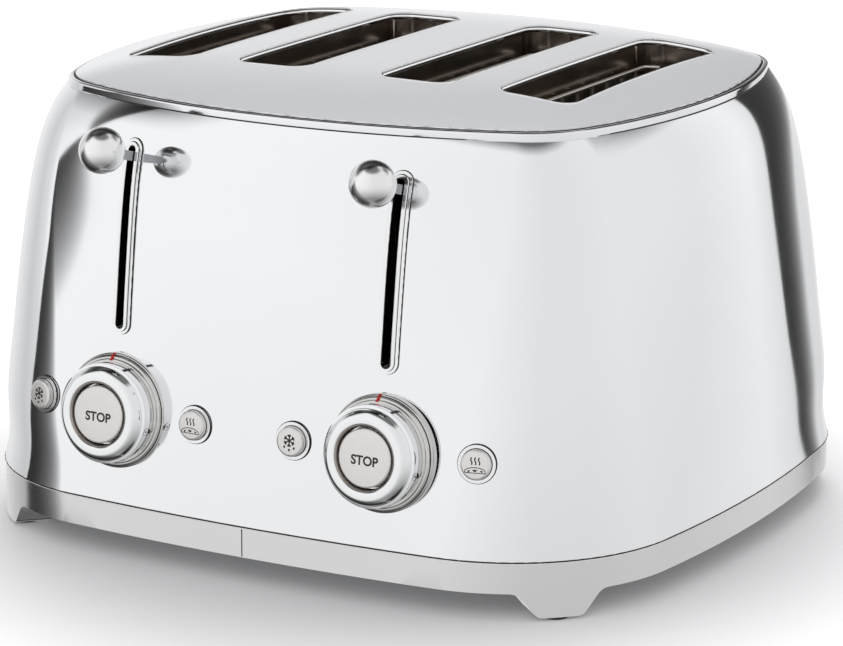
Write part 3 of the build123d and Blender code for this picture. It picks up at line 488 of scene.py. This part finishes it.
# Slot rims: the edge of each bread slot is rolled over, and a thin wire of half white
# steel runs along it as a painted highlight, so that it shows as a fine white line round the dark
# opening.
def arc(x, y, half_width, half_height, start, end, steps=16):
    """Points along an oval arc between two angles in degrees."""
    turns = [math.radians(start + (end - start) * step / steps) for step in range(steps + 1)]
    return [(x + half_width * math.cos(turn), y + half_height * math.sin(turn)) for turn in turns]


def stepped(loop, step=0.006):
    """Points round a closed flat loop, with its longer sides cut into steps."""
    points = []
    for here, there in zip(loop, loop[1:] + loop[:1]):
        count = max(1, round(math.dist(here, there) / step))
        points += [Vector(here).lerp(Vector(there), number / count) for number in range(count)]
    return points


def wire(lines, thickness, closed=False):
    """Round wires as one mesh, each bent along the points of one line in metres."""
    curve = bpy.data.curves.new("wire", "CURVE")
    curve.dimensions = "3D"
    curve.bevel_depth = thickness / 2
    curve.bevel_resolution = 2
    curve.use_fill_caps = True
    for line in lines:
        spline = curve.splines.new("POLY")
        spline.points.add(len(line) - 1)
        spline.use_cyclic_u = closed
        for point, spot in zip(spline.points, line):
            point.co = (*spot, 1)
    holder = bpy.data.objects.new("wire", curve)
    mesh = bpy.data.meshes.new_from_object(holder)
    bpy.data.objects.remove(holder)
    return mesh


# Painted highlight: steel half painted white and soft, so that the edges it covers read as bright lines
# whatever the room shows.
painted_highlight_steel, tree, shader = new_material(
    "painted highlight steel edge", Base_Color=colour("#ffffff"), Metallic=0.5, Roughness=0.2
)
uneven(tree, shader, grain=6.67, roughness=(0.14, 0.28))
slot_half_width = 0.018
slot_half_length = 0.072
slot_corner = 0.0092
slot_places = (-0.0919, -0.0351, 0.0351, 0.0919)
rim_thickness = 0.0009
roll_radius = 0.0016
for number, slot_x in enumerate(slot_places, start=1):
    # The rim wire is a painted highlight in half white steel; the roll under it is polished steel.
    for part, outwards, drop, thickness, material in (
        ("rim", 0.0, 0.0001, rim_thickness, painted_highlight_steel),
        ("roll", 0.0011, 0.00167, 2 * roll_radius, polished_steel),
    ):
        corner = slot_corner + outwards
        loop = []
        for side_x, side_y, start in ((1, 1, 0), (-1, 1, 90), (-1, -1, 180), (1, -1, 270)):
            middle_x = slot_x + side_x * (slot_half_width - slot_corner)
            middle_y = side_y * (slot_half_length - slot_corner)
            loop += arc(middle_x, middle_y, corner, corner, start, start + 90, 10)
        spots = [spot.to_3d() for spot in stepped(loop)]
        line = [(spot.x, spot.y, -crown_distance(spot) - drop) for spot in spots]
        mesh = wire([line], thickness, closed=True)
        edge = new_piece(f"slot_{part}_{number}", mesh, material, smooth_angle=60)
        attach(edge, "housing")


# Trim ring: a bright bead of polished steel that hides the joint between the top
# panel and the wall. It is rolled from strip and pressed onto the wall's ledge, with
# a black line of painted shade on either side of it and another under the wall's lower edge.
def smooth_copy(name, piece_name, material):
    """A CAD node's shape with its curved faces shaded round, standing for the node."""
    piece = new_piece(piece_name, merged_copy(name), material, smooth_angle=35)
    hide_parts(name)
    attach(piece, "housing")
    return piece


def outline_loop(section, outwards, height, steps=180):
    """Points once round a section's outline, some way outside it and at a height."""
    points = []
    for step in range(steps):
        turn = math.tau * step / steps
        way = Vector((math.cos(turn), math.sin(turn)))
        low, high = 0.05, 0.25
        for _ in range(24):
            reach = (low + high) / 2
            if outline_distance(way.x * reach, way.y * reach, section) > outwards:
                high = reach
            else:
                low = reach
        points.append((way.x * reach, way.y * reach, height))
    return points


smooth_copy("top_trim_ring", "trim_bead", polished_steel)

# Painted shade: matt, nearly black wires laid into joints, gaps and steps where shade falls, so that
# every joint reads as a thin dark line.
painted_shade_black, tree, shader = new_material(
    "painted shade black", Base_Color=colour("#1a1817"), Roughness=0.5
)
uneven(tree, shader, grain=2.0, tones=("#100e0d", "#2c2724"))
rim_section = wall_section(rim_height)
foot_section = wall_section(body_bottom)
for name, section, outwards, height, thickness in (
    ("panel_shade_line", rim_section, 0.00035, 0.19475, 0.0007),
    ("trim_shade_line", rim_section, 0.00275, 0.19150, 0.0007),
    ("wall_shade_line", foot_section, -0.0003, 0.02525, 0.0009),
):
    # Each loop is a black wire of painted shade in a joint.
    line = outline_loop(section, outwards, height)
    shade_loop = new_piece(name, wire([line], thickness, closed=True), painted_shade_black, smooth_angle=60)
    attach(shade_loop, "housing")


# Skirt and feet: two cast halves that meet at the front and the back, plated in satin
# chrome, with soft corners at the feet, a black wire of painted shade down each seam and a white wire
# of painted highlight along their edge.
def round_off(shape, edges, radius, segments=3):
    """Rounds off some edges of a shape."""
    bmesh.ops.bevel(
        shape,
        geom=edges,
        offset=radius,
        segments=segments,
        profile=0.5,
        affect="EDGES",
        material=-1,
        clamp_overlap=True,
    )


# Satin chrome: it mirrors the room softly and a little warm, like a skin over the cast
# metal, whose surface still waves a little under it.
satin_chrome, tree, shader = new_material(
    "satin chrome plate", Base_Color=colour("#dcdbdb"), Metallic=1.0, Roughness=0.15
)
uneven(tree, shader, grain=0.4545, roughness=(0.12, 0.19), spread=(0.0, 1.0), cells=True)
uneven(tree, shader, grain=2.0, bump=(0.04, 0.0003))
skirt_top = 0.025
edge_radius = 0.0006
knee_radius = 0.0032
seam_foot, seam_top, seam_width = 0.0125, 0.0242, 0.0006
brim_height, brim_thickness = 0.0246, 0.0009
for side in ("left", "right"):
    skirt = smooth_copy(f"skirt_{side}", f"plated_skirt_{side}", satin_chrome)
    shape = bmesh.new()
    shape.from_mesh(skirt.data)
    outer_edges = [
        line
        for line in shape.edges
        if min(vertex.co.z for vertex in line.verts) > skirt_top - 0.00001
        and all(wall_distance(vertex.co) > -0.0012 for vertex in line.verts)
        and abs(line.calc_face_angle(0)) > math.radians(60)
    ]
    round_off(shape, outer_edges, edge_radius)
    knees = [
        line
        for line in shape.edges
        if line.is_manifold
        and abs(line.verts[0].co.z - line.verts[1].co.z) < 0.00001
        and abs(sum(face.normal.z < -0.999 for face in line.link_faces)) == 1
        and all(abs(face.normal.z) > 0.35 for face in line.link_faces)
        and math.radians(15) < abs(line.calc_face_angle(0)) < math.radians(80)
    ]
    round_off(shape, knees, knee_radius, segments=6)
    shape.to_mesh(skirt.data)
    shape.free()
    set_form_normals(skirt.data, wall_distance, reach=0.0015)
low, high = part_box("skirt_left")
# A black wire down each seam, painted shade for the gap between the halves.
for number, seam_y in enumerate((low.y + 0.0001, high.y - 0.0001), start=1):
    shade_wire = wire([[(0.0, seam_y, seam_foot), (0.0, seam_y, seam_top)]], seam_width)
    seam = new_piece(f"skirt_seam_{number}", shade_wire, painted_shade_black, smooth_angle=60)
    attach(seam, "housing")
# Painted highlight: a white wire along the top edge of the skirt.
line = outline_loop(foot_section, -0.00065, brim_height)
brim = new_piece("skirt_brim", wire([line], brim_thickness, closed=True), painted_highlight_steel, smooth_angle=60)
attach(brim, "housing")

# Chrome plate: the sleeves, collars and bezels are plated and polished so well that
# only the faintest haze is left, a little uneven where hands have touched it.
chrome, tree, shader = new_material(
    "polished chrome plate", Base_Color=colour("#f0f1f2"), Metallic=1.0, Roughness=0.05
)
uneven(tree, shader, grain=16.7, roughness=(0.03, 0.075), Detail=3.0)


def seat(spot, outwards):
    """The matrix that stands a control on the wall, with Z pointing out of the wall."""
    rise = Vector(outwards).normalized()
    across = Vector((0, 0, 1)).cross(rise).normalized()
    turn = Matrix((across, rise.cross(across), rise)).transposed()
    return Matrix.Translation(Vector(spot)) @ turn.to_4x4()


def turned(name, profile, place, material, edge=0.0001, steps=96):
    """A turned piece, spun from half its section in millimetres as (radius, height) points."""
    shape = bmesh.new()
    points = [shape.verts.new((radius / 1000, 0, height / 1000)) for radius, height in profile]
    lines = [shape.edges.new(pair) for pair in zip(points, points[1:])]
    bmesh.ops.spin(
        shape,
        geom=points + lines,
        cent=(0, 0, 0),
        axis=(0, 0, 1),
        angle=math.tau,
        steps=steps,
        use_merge=True,
    )
    bmesh.ops.remove_doubles(shape, verts=shape.verts, dist=0.000002)
    bmesh.ops.recalc_face_normals(shape, faces=shape.faces)
    if edge:
        corners = [line for line in shape.edges if line.calc_face_angle(0) > math.radians(28)]
        round_off(shape, corners, edge)
    bmesh.ops.transform(shape, matrix=place, verts=shape.verts)
    mesh = bpy.data.meshes.new(name)
    shape.to_mesh(mesh)
    shape.free()
    return new_piece(name, mesh, material, smooth_angle=50)


def wall_front(x, z, stand):
    """How far back a point lies that stands some way off the front of the wall."""
    near, far = -0.165, -0.110
    for _ in range(20):
        y = (near + far) / 2
        if wall_distance(Vector((x, y, z))) > stand:
            near = y
        else:
            far = y
    return y


# Levers: a polished ball on a flat steel stem that runs in an upright slot. The slot
# has a stepped chrome bezel with black wires laid in its steps as painted shade, and a black moulded
# liner behind it.
lever_x = 0.0645
lever_way = (0.0, -0.960172, 0.279411)
lever_spot_y = -0.130503
lever_spot_z = 0.1715
ball_reach = 24.0
ball_radius = 9.75
ball_seat = 14.72
low_turn = math.degrees(math.asin((ball_seat - ball_reach) / ball_radius))
round_part = arc(0.0, ball_reach, ball_radius, ball_radius, 90, low_turn, 30)
ball_profile = [(0.0, ball_reach + ball_radius), *round_part[1:], (0.0, ball_seat)]
bezel_half_width = 0.0046
bezel_steps = ((0.00465, 0.0002), (0.0033, 0.0010), (0.0021, 0.0017))
bezel_shade_width = 0.00042

# Satin-polished ball: lapped rather than buffed, so its highlights are broad.
satin_ball, tree, shader = new_material(
    "satin-polished ball", Base_Color=colour("#f4f4f4"), Metallic=1.0, Roughness=0.2
)
uneven(tree, shader, grain=1.11, roughness=(0.17, 0.23))
for name, side in (("left", -1), ("right", 1)):
    place = seat((side * lever_x, lever_spot_y, lever_spot_z), lever_way)
    ball = turned(f"lever_ball_{name}", ball_profile, place, satin_ball)
    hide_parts(f"lever_knob_{name}")
    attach(ball, f"lever_{name}")
    bezel = smooth_copy(f"lever_bezel_{name}", f"slot_bezel_{name}", chrome)
    set_form_normals(bezel.data, wall_distance, reach=0.0025)
    low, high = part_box(f"lever_bezel_{name}")
    # Painted shade: a black wire along each step of the bezel.
    for number, (reach, stand) in enumerate(bezel_steps, start=1):
        loop = arc(side * lever_x, high.z - bezel_half_width, reach, reach, 0, 180, 14)
        loop += arc(side * lever_x, low.z + bezel_half_width, reach, reach, 180, 360, 14)
        line = [(spot.x, wall_front(*spot, stand), spot.y) for spot in stepped(loop)]
        shade_step_line = wire([line], bezel_shade_width, closed=True)
        shade = new_piece(f"bezel_line_{number}_{name}", shade_step_line, painted_shade_black, smooth_angle=60)
        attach(shade, "housing")

# Control rings: a chromed flange, a bead and a step around each knob, with a black ring
# as painted shade where the bead sits in the flange, and a red mark painted across them at the top.
knob_way = (0.0, -0.995054, 0.099338)
knob_spot_y = -0.145278
control_z = 0.0653
ring_front = [
    (24.5, 1.8), (24.3, 2.3), (23.85, 2.5), (23.7, 2.35), (23.5, 2.35), (23.5, 3.0),
    (23.3, 3.55), (22.8, 3.85), (22.35, 3.9), (22.3, 4.4), (22.1, 4.85), (21.6, 5.0),
]
ring_back = [(12.5, 5.0), (12.5, -3.0), (14.5, -3.0), (14.5, -1.0), (24.5, -1.0)]
ring_profile = [*ring_back, *ring_front, (12.5, 5.0)]
groove_profile = [(23.52, 2.1), (23.82, 2.1), (23.82, 2.47), (23.52, 2.47), (23.52, 2.1)]
mark_turn = math.radians(-3.0)
mark_width = math.radians(4.0)
paint_film = 0.06
paint_root = 0.15

# Chromed casting: greyer and less even than the turned pieces, as cast metal stays.
ring_chrome, tree, shader = new_material(
    "cast chromed ring", Base_Color=colour("#d3d2d0"), Metallic=1.0, Roughness=0.09
)
uneven(tree, shader, grain=8.33, roughness=(0.06, 0.12), Detail=3.0)

# Red enamel: brushed on, so slightly streaky, with a soft gloss.
red_paint, tree, shader = new_material("red enamel paint", Base_Color=colour("#c8170f"), Roughness=0.35)
uneven(tree, shader, grain=1.11, tones=("#a8120c", "#d9271b"))

# Black moulded plastic: matt, with the fine grain of a spark-eroded mould.
black_plastic, tree, shader = new_material(
    "black moulded plastic", Base_Color=colour("#17171a"), Roughness=0.5
)
uneven(tree, shader, grain=0.714, roughness=(0.42, 0.58), bump=(0.25, 0.0001))
for name, side in (("left", -1), ("right", 1)):
    place = seat((side * lever_x, knob_spot_y, control_z), knob_way)
    ring = turned(f"knob_ring_{name}", ring_profile, place, ring_chrome, edge=0)
    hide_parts(f"control_ring_{name}")
    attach(ring, "housing")
    # Painted shade: a black ring in the groove where the gap between bead and flange looks dark.
    groove = turned(f"ring_groove_{name}", groove_profile, place, black_plastic, edge=0)
    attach(groove, "housing")
    over = [(radius + paint_film, height + paint_film) for radius, height in ring_front]
    under = [(radius - paint_root, height - paint_root) for radius, height in ring_front[:-1]]
    shape = bmesh.new()
    points = [
        shape.verts.new((0, radius / 1000, height / 1000))
        for radius, height in [*over, (21.4, 4.9), *reversed(under)]
    ]
    face = shape.faces.new(points)
    turn = Matrix.Rotation(-mark_turn + mark_width / 2, 3, "Z")
    bmesh.ops.rotate(shape, cent=(0, 0, 0), matrix=turn, verts=shape.verts)
    end = [face, *face.edges, *face.verts]
    bmesh.ops.spin(shape, geom=end, cent=(0, 0, 0), axis=(0, 0, -1), angle=mark_width, steps=4)
    bmesh.ops.remove_doubles(shape, verts=shape.verts, dist=0.000001)
    bmesh.ops.recalc_face_normals(shape, faces=shape.faces)
    bmesh.ops.transform(shape, matrix=place, verts=shape.verts)
    mesh = bpy.data.meshes.new(f"red_mark_{name}")
    shape.to_mesh(mesh)
    shape.free()
    mark = new_piece(f"red_mark_{name}", mesh, red_paint)
    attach(mark, "housing")

# Browning knobs: a chromed sleeve with printed numbers from 1 to 6 under a rounded
# front ring, and in its middle a satin nickel cap with a word printed on it.
sleeve_radius = 21.2
knob_profile = [
    (5.0, 10.8), (5.0, -12.5), (12.2, -12.5), (12.2, 5.3), (sleeve_radius, 5.3), (sleeve_radius, 11.5),
    (20.2, 11.7), (19.8, 11.9), (20.1, 12.1), (20.1, 12.7), *arc(15.4, 11.3, 4.8, 4.8, 12, 68, 8)[1:],
    (16.9, 15.8), (14.3, 15.8), (13.9, 15.5), (13.3, 14.6), (13.3, 10.8), (5.0, 10.8),
]
lining_profile = [
    (13.85, 15.52), (13.26, 14.6), (13.22, 10.85), (12.9, 10.85), (12.95, 14.5),
    (13.7, 15.56), (13.85, 15.52),
]
cap_profile = [
    (0.0, 15.28), (6.0, 15.26), (11.5, 15.2), (12.1, 14.8), (12.2, 14.5), (12.2, 12.6),
    (4.7, 12.6), (4.7, -12.5), (0.0, -12.5),
]
first_number = 25.0
number_spacing = 56.0
number_size, number_weight, number_height = 0.0052, 0.055, 0.0082
dash_size, dash_height = (0.0028, 0.0012), 0.0084
print_depth = 0.00026
word_size, word_weight = 0.0041, 0.03
word_spot = (0.0003, -0.0009, 0.01527)

# Printing ink: matt dark brown, a shade lighter where the screen left less of it.
ink, tree, shader = new_material(
    "dark brown printing ink", Base_Color=colour("#2c2324"), Roughness=0.55
)
uneven(tree, shader, grain=0.4, tones=("#1f1818", "#3a2f30"))

# Satin nickel: brushed and warm, and too dull to mirror anything.
satin_nickel, tree, shader = new_material(
    "satin nickel plate", Base_Color=colour("#e9e7e5"), Metallic=0.85, Roughness=0.36
)
uneven(tree, shader, grain=0.556, roughness=(0.31, 0.43))

# Anodised groove: it sets the cap off from the knob with a narrow grey ring.
groove_grey, tree, shader = new_material(
    "grey anodised groove", Base_Color=colour("#b3aca7"), Metallic=1.0, Roughness=0.3
)
uneven(tree, shader, grain=2.5, roughness=(0.25, 0.36))


def lettering(words, height, weight, depth=0.00008):
    """Words as a flat mesh of a height and a weight, with its middle at the origin."""
    text = bpy.data.curves.new(words, "FONT")
    text.body = words
    text.extrude = 1.0
    text.offset = weight
    holder = bpy.data.objects.new(words, text)
    mesh = bpy.data.meshes.new_from_object(holder)
    bpy.data.objects.remove(holder)
    spots = [vertex.co for vertex in mesh.vertices]
    low = [min(spot[axis] for spot in spots) for axis in range(3)]
    high = [max(spot[axis] for spot in spots) for axis in range(3)]
    scale = height / (high[1] - low[1])
    middle = Vector([(low[axis] + high[axis]) / 2 for axis in range(3)])
    flat = Matrix.Diagonal((scale, scale, depth / (high[2] - low[2]), 1.0))
    mesh.transform(flat @ Matrix.Translation(-middle))
    return mesh


def wrap(mesh, turn, radius, height, place):
    """Bends flat print round a sleeve at a turn from the top, with its feet to the front."""
    for vertex in mesh.vertices:
        along = turn + vertex.co.x / radius
        reach = radius + vertex.co.z
        vertex.co = Vector((reach * math.sin(along), reach * math.cos(along), height - vertex.co.y))
    mesh.transform(place)


for name, side in (("left", -1), ("right", 1)):
    place = seat((side * lever_x, knob_spot_y, control_z), knob_way)
    body = f"browning_knob_{name}"
    knob = turned(f"knob_{name}", knob_profile, place, chrome, edge=0.00012)
    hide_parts(body)
    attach(knob, body)
    lining = turned(f"knob_groove_{name}", lining_profile, place, groove_grey, edge=0)
    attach(lining, body)
    for number in range(1, 7):
        digit = lettering(str(number), number_size, number_weight, depth=print_depth)
        turn = math.radians(first_number - number_spacing * (number - 1))
        wrap(digit, turn, sleeve_radius / 1000, number_height, place)
        piece = new_piece(f"number_{number}_{name}", digit, ink)
        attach(piece, body)
    for number in range(1, 6):
        shape = bmesh.new()
        bmesh.ops.create_cube(shape, size=1.0, matrix=Matrix.Diagonal((*dash_size, print_depth, 1.0)))
        round_off(shape, shape.edges[:], 0.00003, segments=2)
        dash = bpy.data.meshes.new("dash")
        shape.to_mesh(dash)
        shape.free()
        turn = math.radians(first_number - number_spacing * (number - 0.5))
        wrap(dash, turn, sleeve_radius / 1000, dash_height, place)
        piece = new_piece(f"dash_{number}_{name}", dash, ink)
        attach(piece, body)
    cap = turned(f"stop_cap_{name}", cap_profile, place, satin_nickel)
    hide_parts(f"stop_button_{name}")
    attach(cap, f"stop_button_{name}")
    word = lettering("STOP", word_size, word_weight)
    slimmed = Matrix.Diagonal((0.97, 1.0, 1.0, 1.0))
    word.transform(place @ Matrix.Translation(word_spot) @ slimmed)
    piece = new_piece(f"stop_word_{name}", word, ink)
    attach(piece, f"stop_button_{name}")


# Push buttons: satin nickel caps in thin chromed collars, each with a black wire of painted shade round
# it.
# Printed on them are a snowflake with three drops for frozen bread, and steam over half
# a bagel. The drawings below are in millimetres from the middle of the cap.
def painted(drawing, width, depth=0.12):
    """The lines of a drawing as one mesh: each a round wire that is pressed flat."""
    mesh = wire([[(x / 1000, y / 1000, 0) for x, y in line] for line in drawing], width / 1000)
    mesh.transform(Matrix.Diagonal((1.0, 1.0, depth / width, 1.0)))
    return mesh


flake_middle = Vector((0.0, 0.6))
flake = []
for arm in range(6):
    turn = math.radians(60 * arm + 30)
    way = Vector((math.cos(turn), math.sin(turn)))
    across = Vector((-way.y, way.x))
    flake.append([flake_middle, flake_middle + way * 2.6])
    for lean in (-1, 1):
        flake.append([flake_middle + way * 1.55, flake_middle + way * 2.35 + across * 0.75 * lean])
drops = []
for x, y in ((-2.2, -2.1), (0.05, -3.2), (2.25, -2.3)):
    drops.append([(x, y + 0.35), (x, y - 0.1)])
    drops.append(arc(x, y - 0.1, 0.18, 0.2, 0, 360, 8))
steam = [
    [(x + 0.28 * math.sin(step * 0.66), 0.2 + step * 0.3) for step in range(11)]
    for x in (-1.6, 0.0, 1.6)
]
left_end = arc(-3.9, -2.75, 0.35, 0.4, 150, 260, 6)
right_end = arc(3.9, -2.75, 0.35, 0.4, -80, 40, 6)
bagel = [[*arc(0.0, -2.65, 4.3, 1.75, 8, 172), *left_end, (3.9, -3.1), *right_end]]
crumb = [
    arc(-2.4, -2.6, 0.45, 0.3, 60, 260, 8),
    [(-0.9, -1.95), (0.0, -2.55), (0.9, -1.95), (-0.9, -1.95)],
    [(-0.4, -2.1), (0.4, -2.1)],
    arc(2.6, -2.5, 0.35, 0.25, -60, 180, 8),
]
prints = {
    "defrost": [(flake, 0.62), (drops, 0.72)],
    "bagel": [(steam, 0.55), (bagel, 0.34), (crumb, 0.5)],
}
buttons = (
    ("defrost", "left", (-0.1051, -0.139743), (-0.261342, -0.958044, 0.117693), -7.6),
    ("bagel", "left", (-0.0239, -0.147890), (-0.034605, -0.996354, 0.077982), -15.2),
    ("defrost", "right", (0.0239, -0.147890), (0.034605, -0.996354, 0.077982), -15.2),
    ("bagel", "right", (0.1051, -0.139743), (0.261342, -0.958044, 0.117693), -7.6),
)
cap_front = [(0.0, 4.0), (5.4, 4.0), (5.75, 3.75), (6.05, 3.6), (6.3, 3.2), (6.3, -3.5), (2.5, -3.5)]
print_spot = (0, 0, 0.00401)
collar_radius, collar_height, collar_shade_width = 0.00805, 0.0006, 0.0004
collar_circle = arc(0.0, 0.0, collar_radius, collar_radius, 0, 360, 64)[:-1]
for button, side, (x, y), way, plunger in buttons:
    name = f"{button}_{side}"
    body = f"{button}_button_{side}"
    place = seat((x, y, control_z), way)
    profile = [*cap_front, (2.5, plunger), (0.0, plunger)]
    cap = turned(f"push_cap_{name}", profile, place, satin_nickel, steps=64)
    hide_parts(body)
    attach(cap, body)
    for count, (drawing, width) in enumerate(prints[button], start=1):
        paint = painted(drawing, width)
        paint.transform(place @ Matrix.Translation(print_spot))
        piece = new_piece(f"print_{name}_{count}", paint, ink)
        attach(piece, body)
    # Painted shade: a black wire round the collar, where its edge looks dark.
    line = [place @ Vector((*spot, collar_height)) for spot in collar_circle]
    mesh = wire([line], collar_shade_width, closed=True)
    shade_wire = new_piece(f"collar_line_{name}", mesh, painted_shade_black, smooth_angle=60)
    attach(shade_wire, "housing")
smooth_copy("button_collars", "chromed_collars", chrome)

# Inside: galvanised sheets, drawn wire, mica heater cards and circuit boards, none
# of them polished, seen only through the bread slots and from below.

# Galvanised steel: zinc crystals a few millimetres wide, some paler than others.
galvanised, tree, shader = new_material(
    "galvanised steel sheet", Base_Color=colour("#a9adb0"), Metallic=1.0, Roughness=0.34
)
uneven(tree, shader, grain=5.56, tones=("#9a9ea1", "#bdc1c4"), cells=True)

# Drawn wire: bright nickel that the heat has yellowed in places.
drawn_wire, tree, shader = new_material(
    "drawn nickel-plated wire", Base_Color=colour("#c9c7c2"), Metallic=1.0, Roughness=0.28
)
uneven(tree, shader, grain=40.0, tones=("#d6cfc4", "#efefed"))

# Mica: pressed flakes in brown layers, with a dull shine.
mica, tree, shader = new_material("mica sheet", Base_Color=colour("#a0917a"), Roughness=0.45)
uneven(tree, shader, grain=8.33, tones=("#7d6f5c", "#b5a58b"), Detail=5.0)

# Moulded rubber: nearly black and quite matt, greyed a little by dust.
rubber, tree, shader = new_material("moulded rubber", Base_Color=colour("#1b1b1d"), Roughness=0.75)
uneven(tree, shader, grain=3.33, tones=("#161618", "#262628"), Detail=3.0)

# Circuit board: green lacquer, paler over its 4 mm grid of copper tracks.
board_green, tree, shader = new_material(
    "green circuit board", Base_Color=colour("#1d4a2c"), Roughness=0.4
)
place = add_node(tree, "ShaderNodeTexCoord").outputs["Object"]
shades = {"Color1": colour("#1b472a"), "Color2": colour("#205334"), "Mortar": colour("#2f6b45")}
tracks = add_node(tree, "ShaderNodeTexBrick", {"Vector": place, "Scale": 1000 / 3.85, **shades})
tree.links.new(tracks.outputs["Color"], shader.inputs["Base Color"])

# Lift springs: a coil of spring wire round each guide rod, which pulls the carriage up
# again. It shortens as the lever goes down; here it is drawn at an even pitch.
spring_wire = 0.0013
spring_radius = 0.0043 - spring_wire / 2
spring_turns = 15
spring_end = 0.0007
steps_round = 24
for name in ("left", "right"):
    low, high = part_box(f"lift_spring_{name}")
    x, y = (low.x + high.x) / 2, (low.y + high.y) / 2
    line = []
    for step in range(spring_turns * steps_round + 1):
        turn = math.tau * step / steps_round
        share = step / (spring_turns * steps_round)
        rise = low.z + spring_end + (high.z - low.z - 2 * spring_end) * share
        line.append((x + spring_radius * math.cos(turn), y + spring_radius * math.sin(turn), rise))
    coil = new_piece(f"coil_spring_{name}", wire([line], spring_wire), drawn_wire, smooth_angle=60)
    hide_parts(f"lift_spring_{name}")
    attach(coil, "housing")
    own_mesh(coil)

# Heater windings: a flat nichrome ribbon wound round each mica card, close together at
# the bottom and further apart at the top.

# Nichrome: browned and blued by its own heat, in patches along the ribbon.
nichrome, tree, shader = new_material(
    "nichrome ribbon", Base_Color=colour("#6f655e"), Metallic=1.0, Roughness=0.35
)
uneven(tree, shader, grain=16.7, tones=("#54483f", "#8d8a8c"), Detail=3.0)
ribbon_width = 0.0009
ribbon_gap = 0.0003
ribbon_margin = 0.004
first_pitch = 0.0062
pitch_growth = 0.0003
for number in range(1, 7):
    low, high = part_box(f"heater_card_{number}")
    left, right = low.x - ribbon_gap, high.x + ribbon_gap
    near, far = low.y + ribbon_margin, high.y - ribbon_margin
    line = []
    rise = low.z + 0.006
    pitch = first_pitch
    while rise < high.z - 0.008:
        line += [(right, near, rise), (right, far, rise)]
        line += [(left, far, rise + pitch / 2), (left, near, rise + pitch / 2)]
        rise += pitch
        pitch += pitch_growth
    ribbon = wire([line], ribbon_width)
    winding = new_piece(f"heater_winding_{number}", ribbon, nichrome, smooth_angle=50)
    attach(winding, "housing")

# Finishes: every CAD piece that is shown as it is, such as the base plate, the racks and
# the trays, gets the material of its slot in the record.
finishes = {
    "polished_steel": polished_steel,
    "satin_steel": satin_steel,
    "satin_metal": satin_nickel,
    "chrome": chrome,
    "plain_steel": galvanised,
    "spring_steel": drawn_wire,
    "black_plastic": black_plastic,
    "board": board_green,
    "mica": mica,
    "rubber": rubber,
}
for entry in frame["record"]["subparts"]:
    mesh = frame["nodes"][entry["node"]].data
    mesh.materials.clear()
    mesh.materials.append(finishes[entry["material_slot"]])
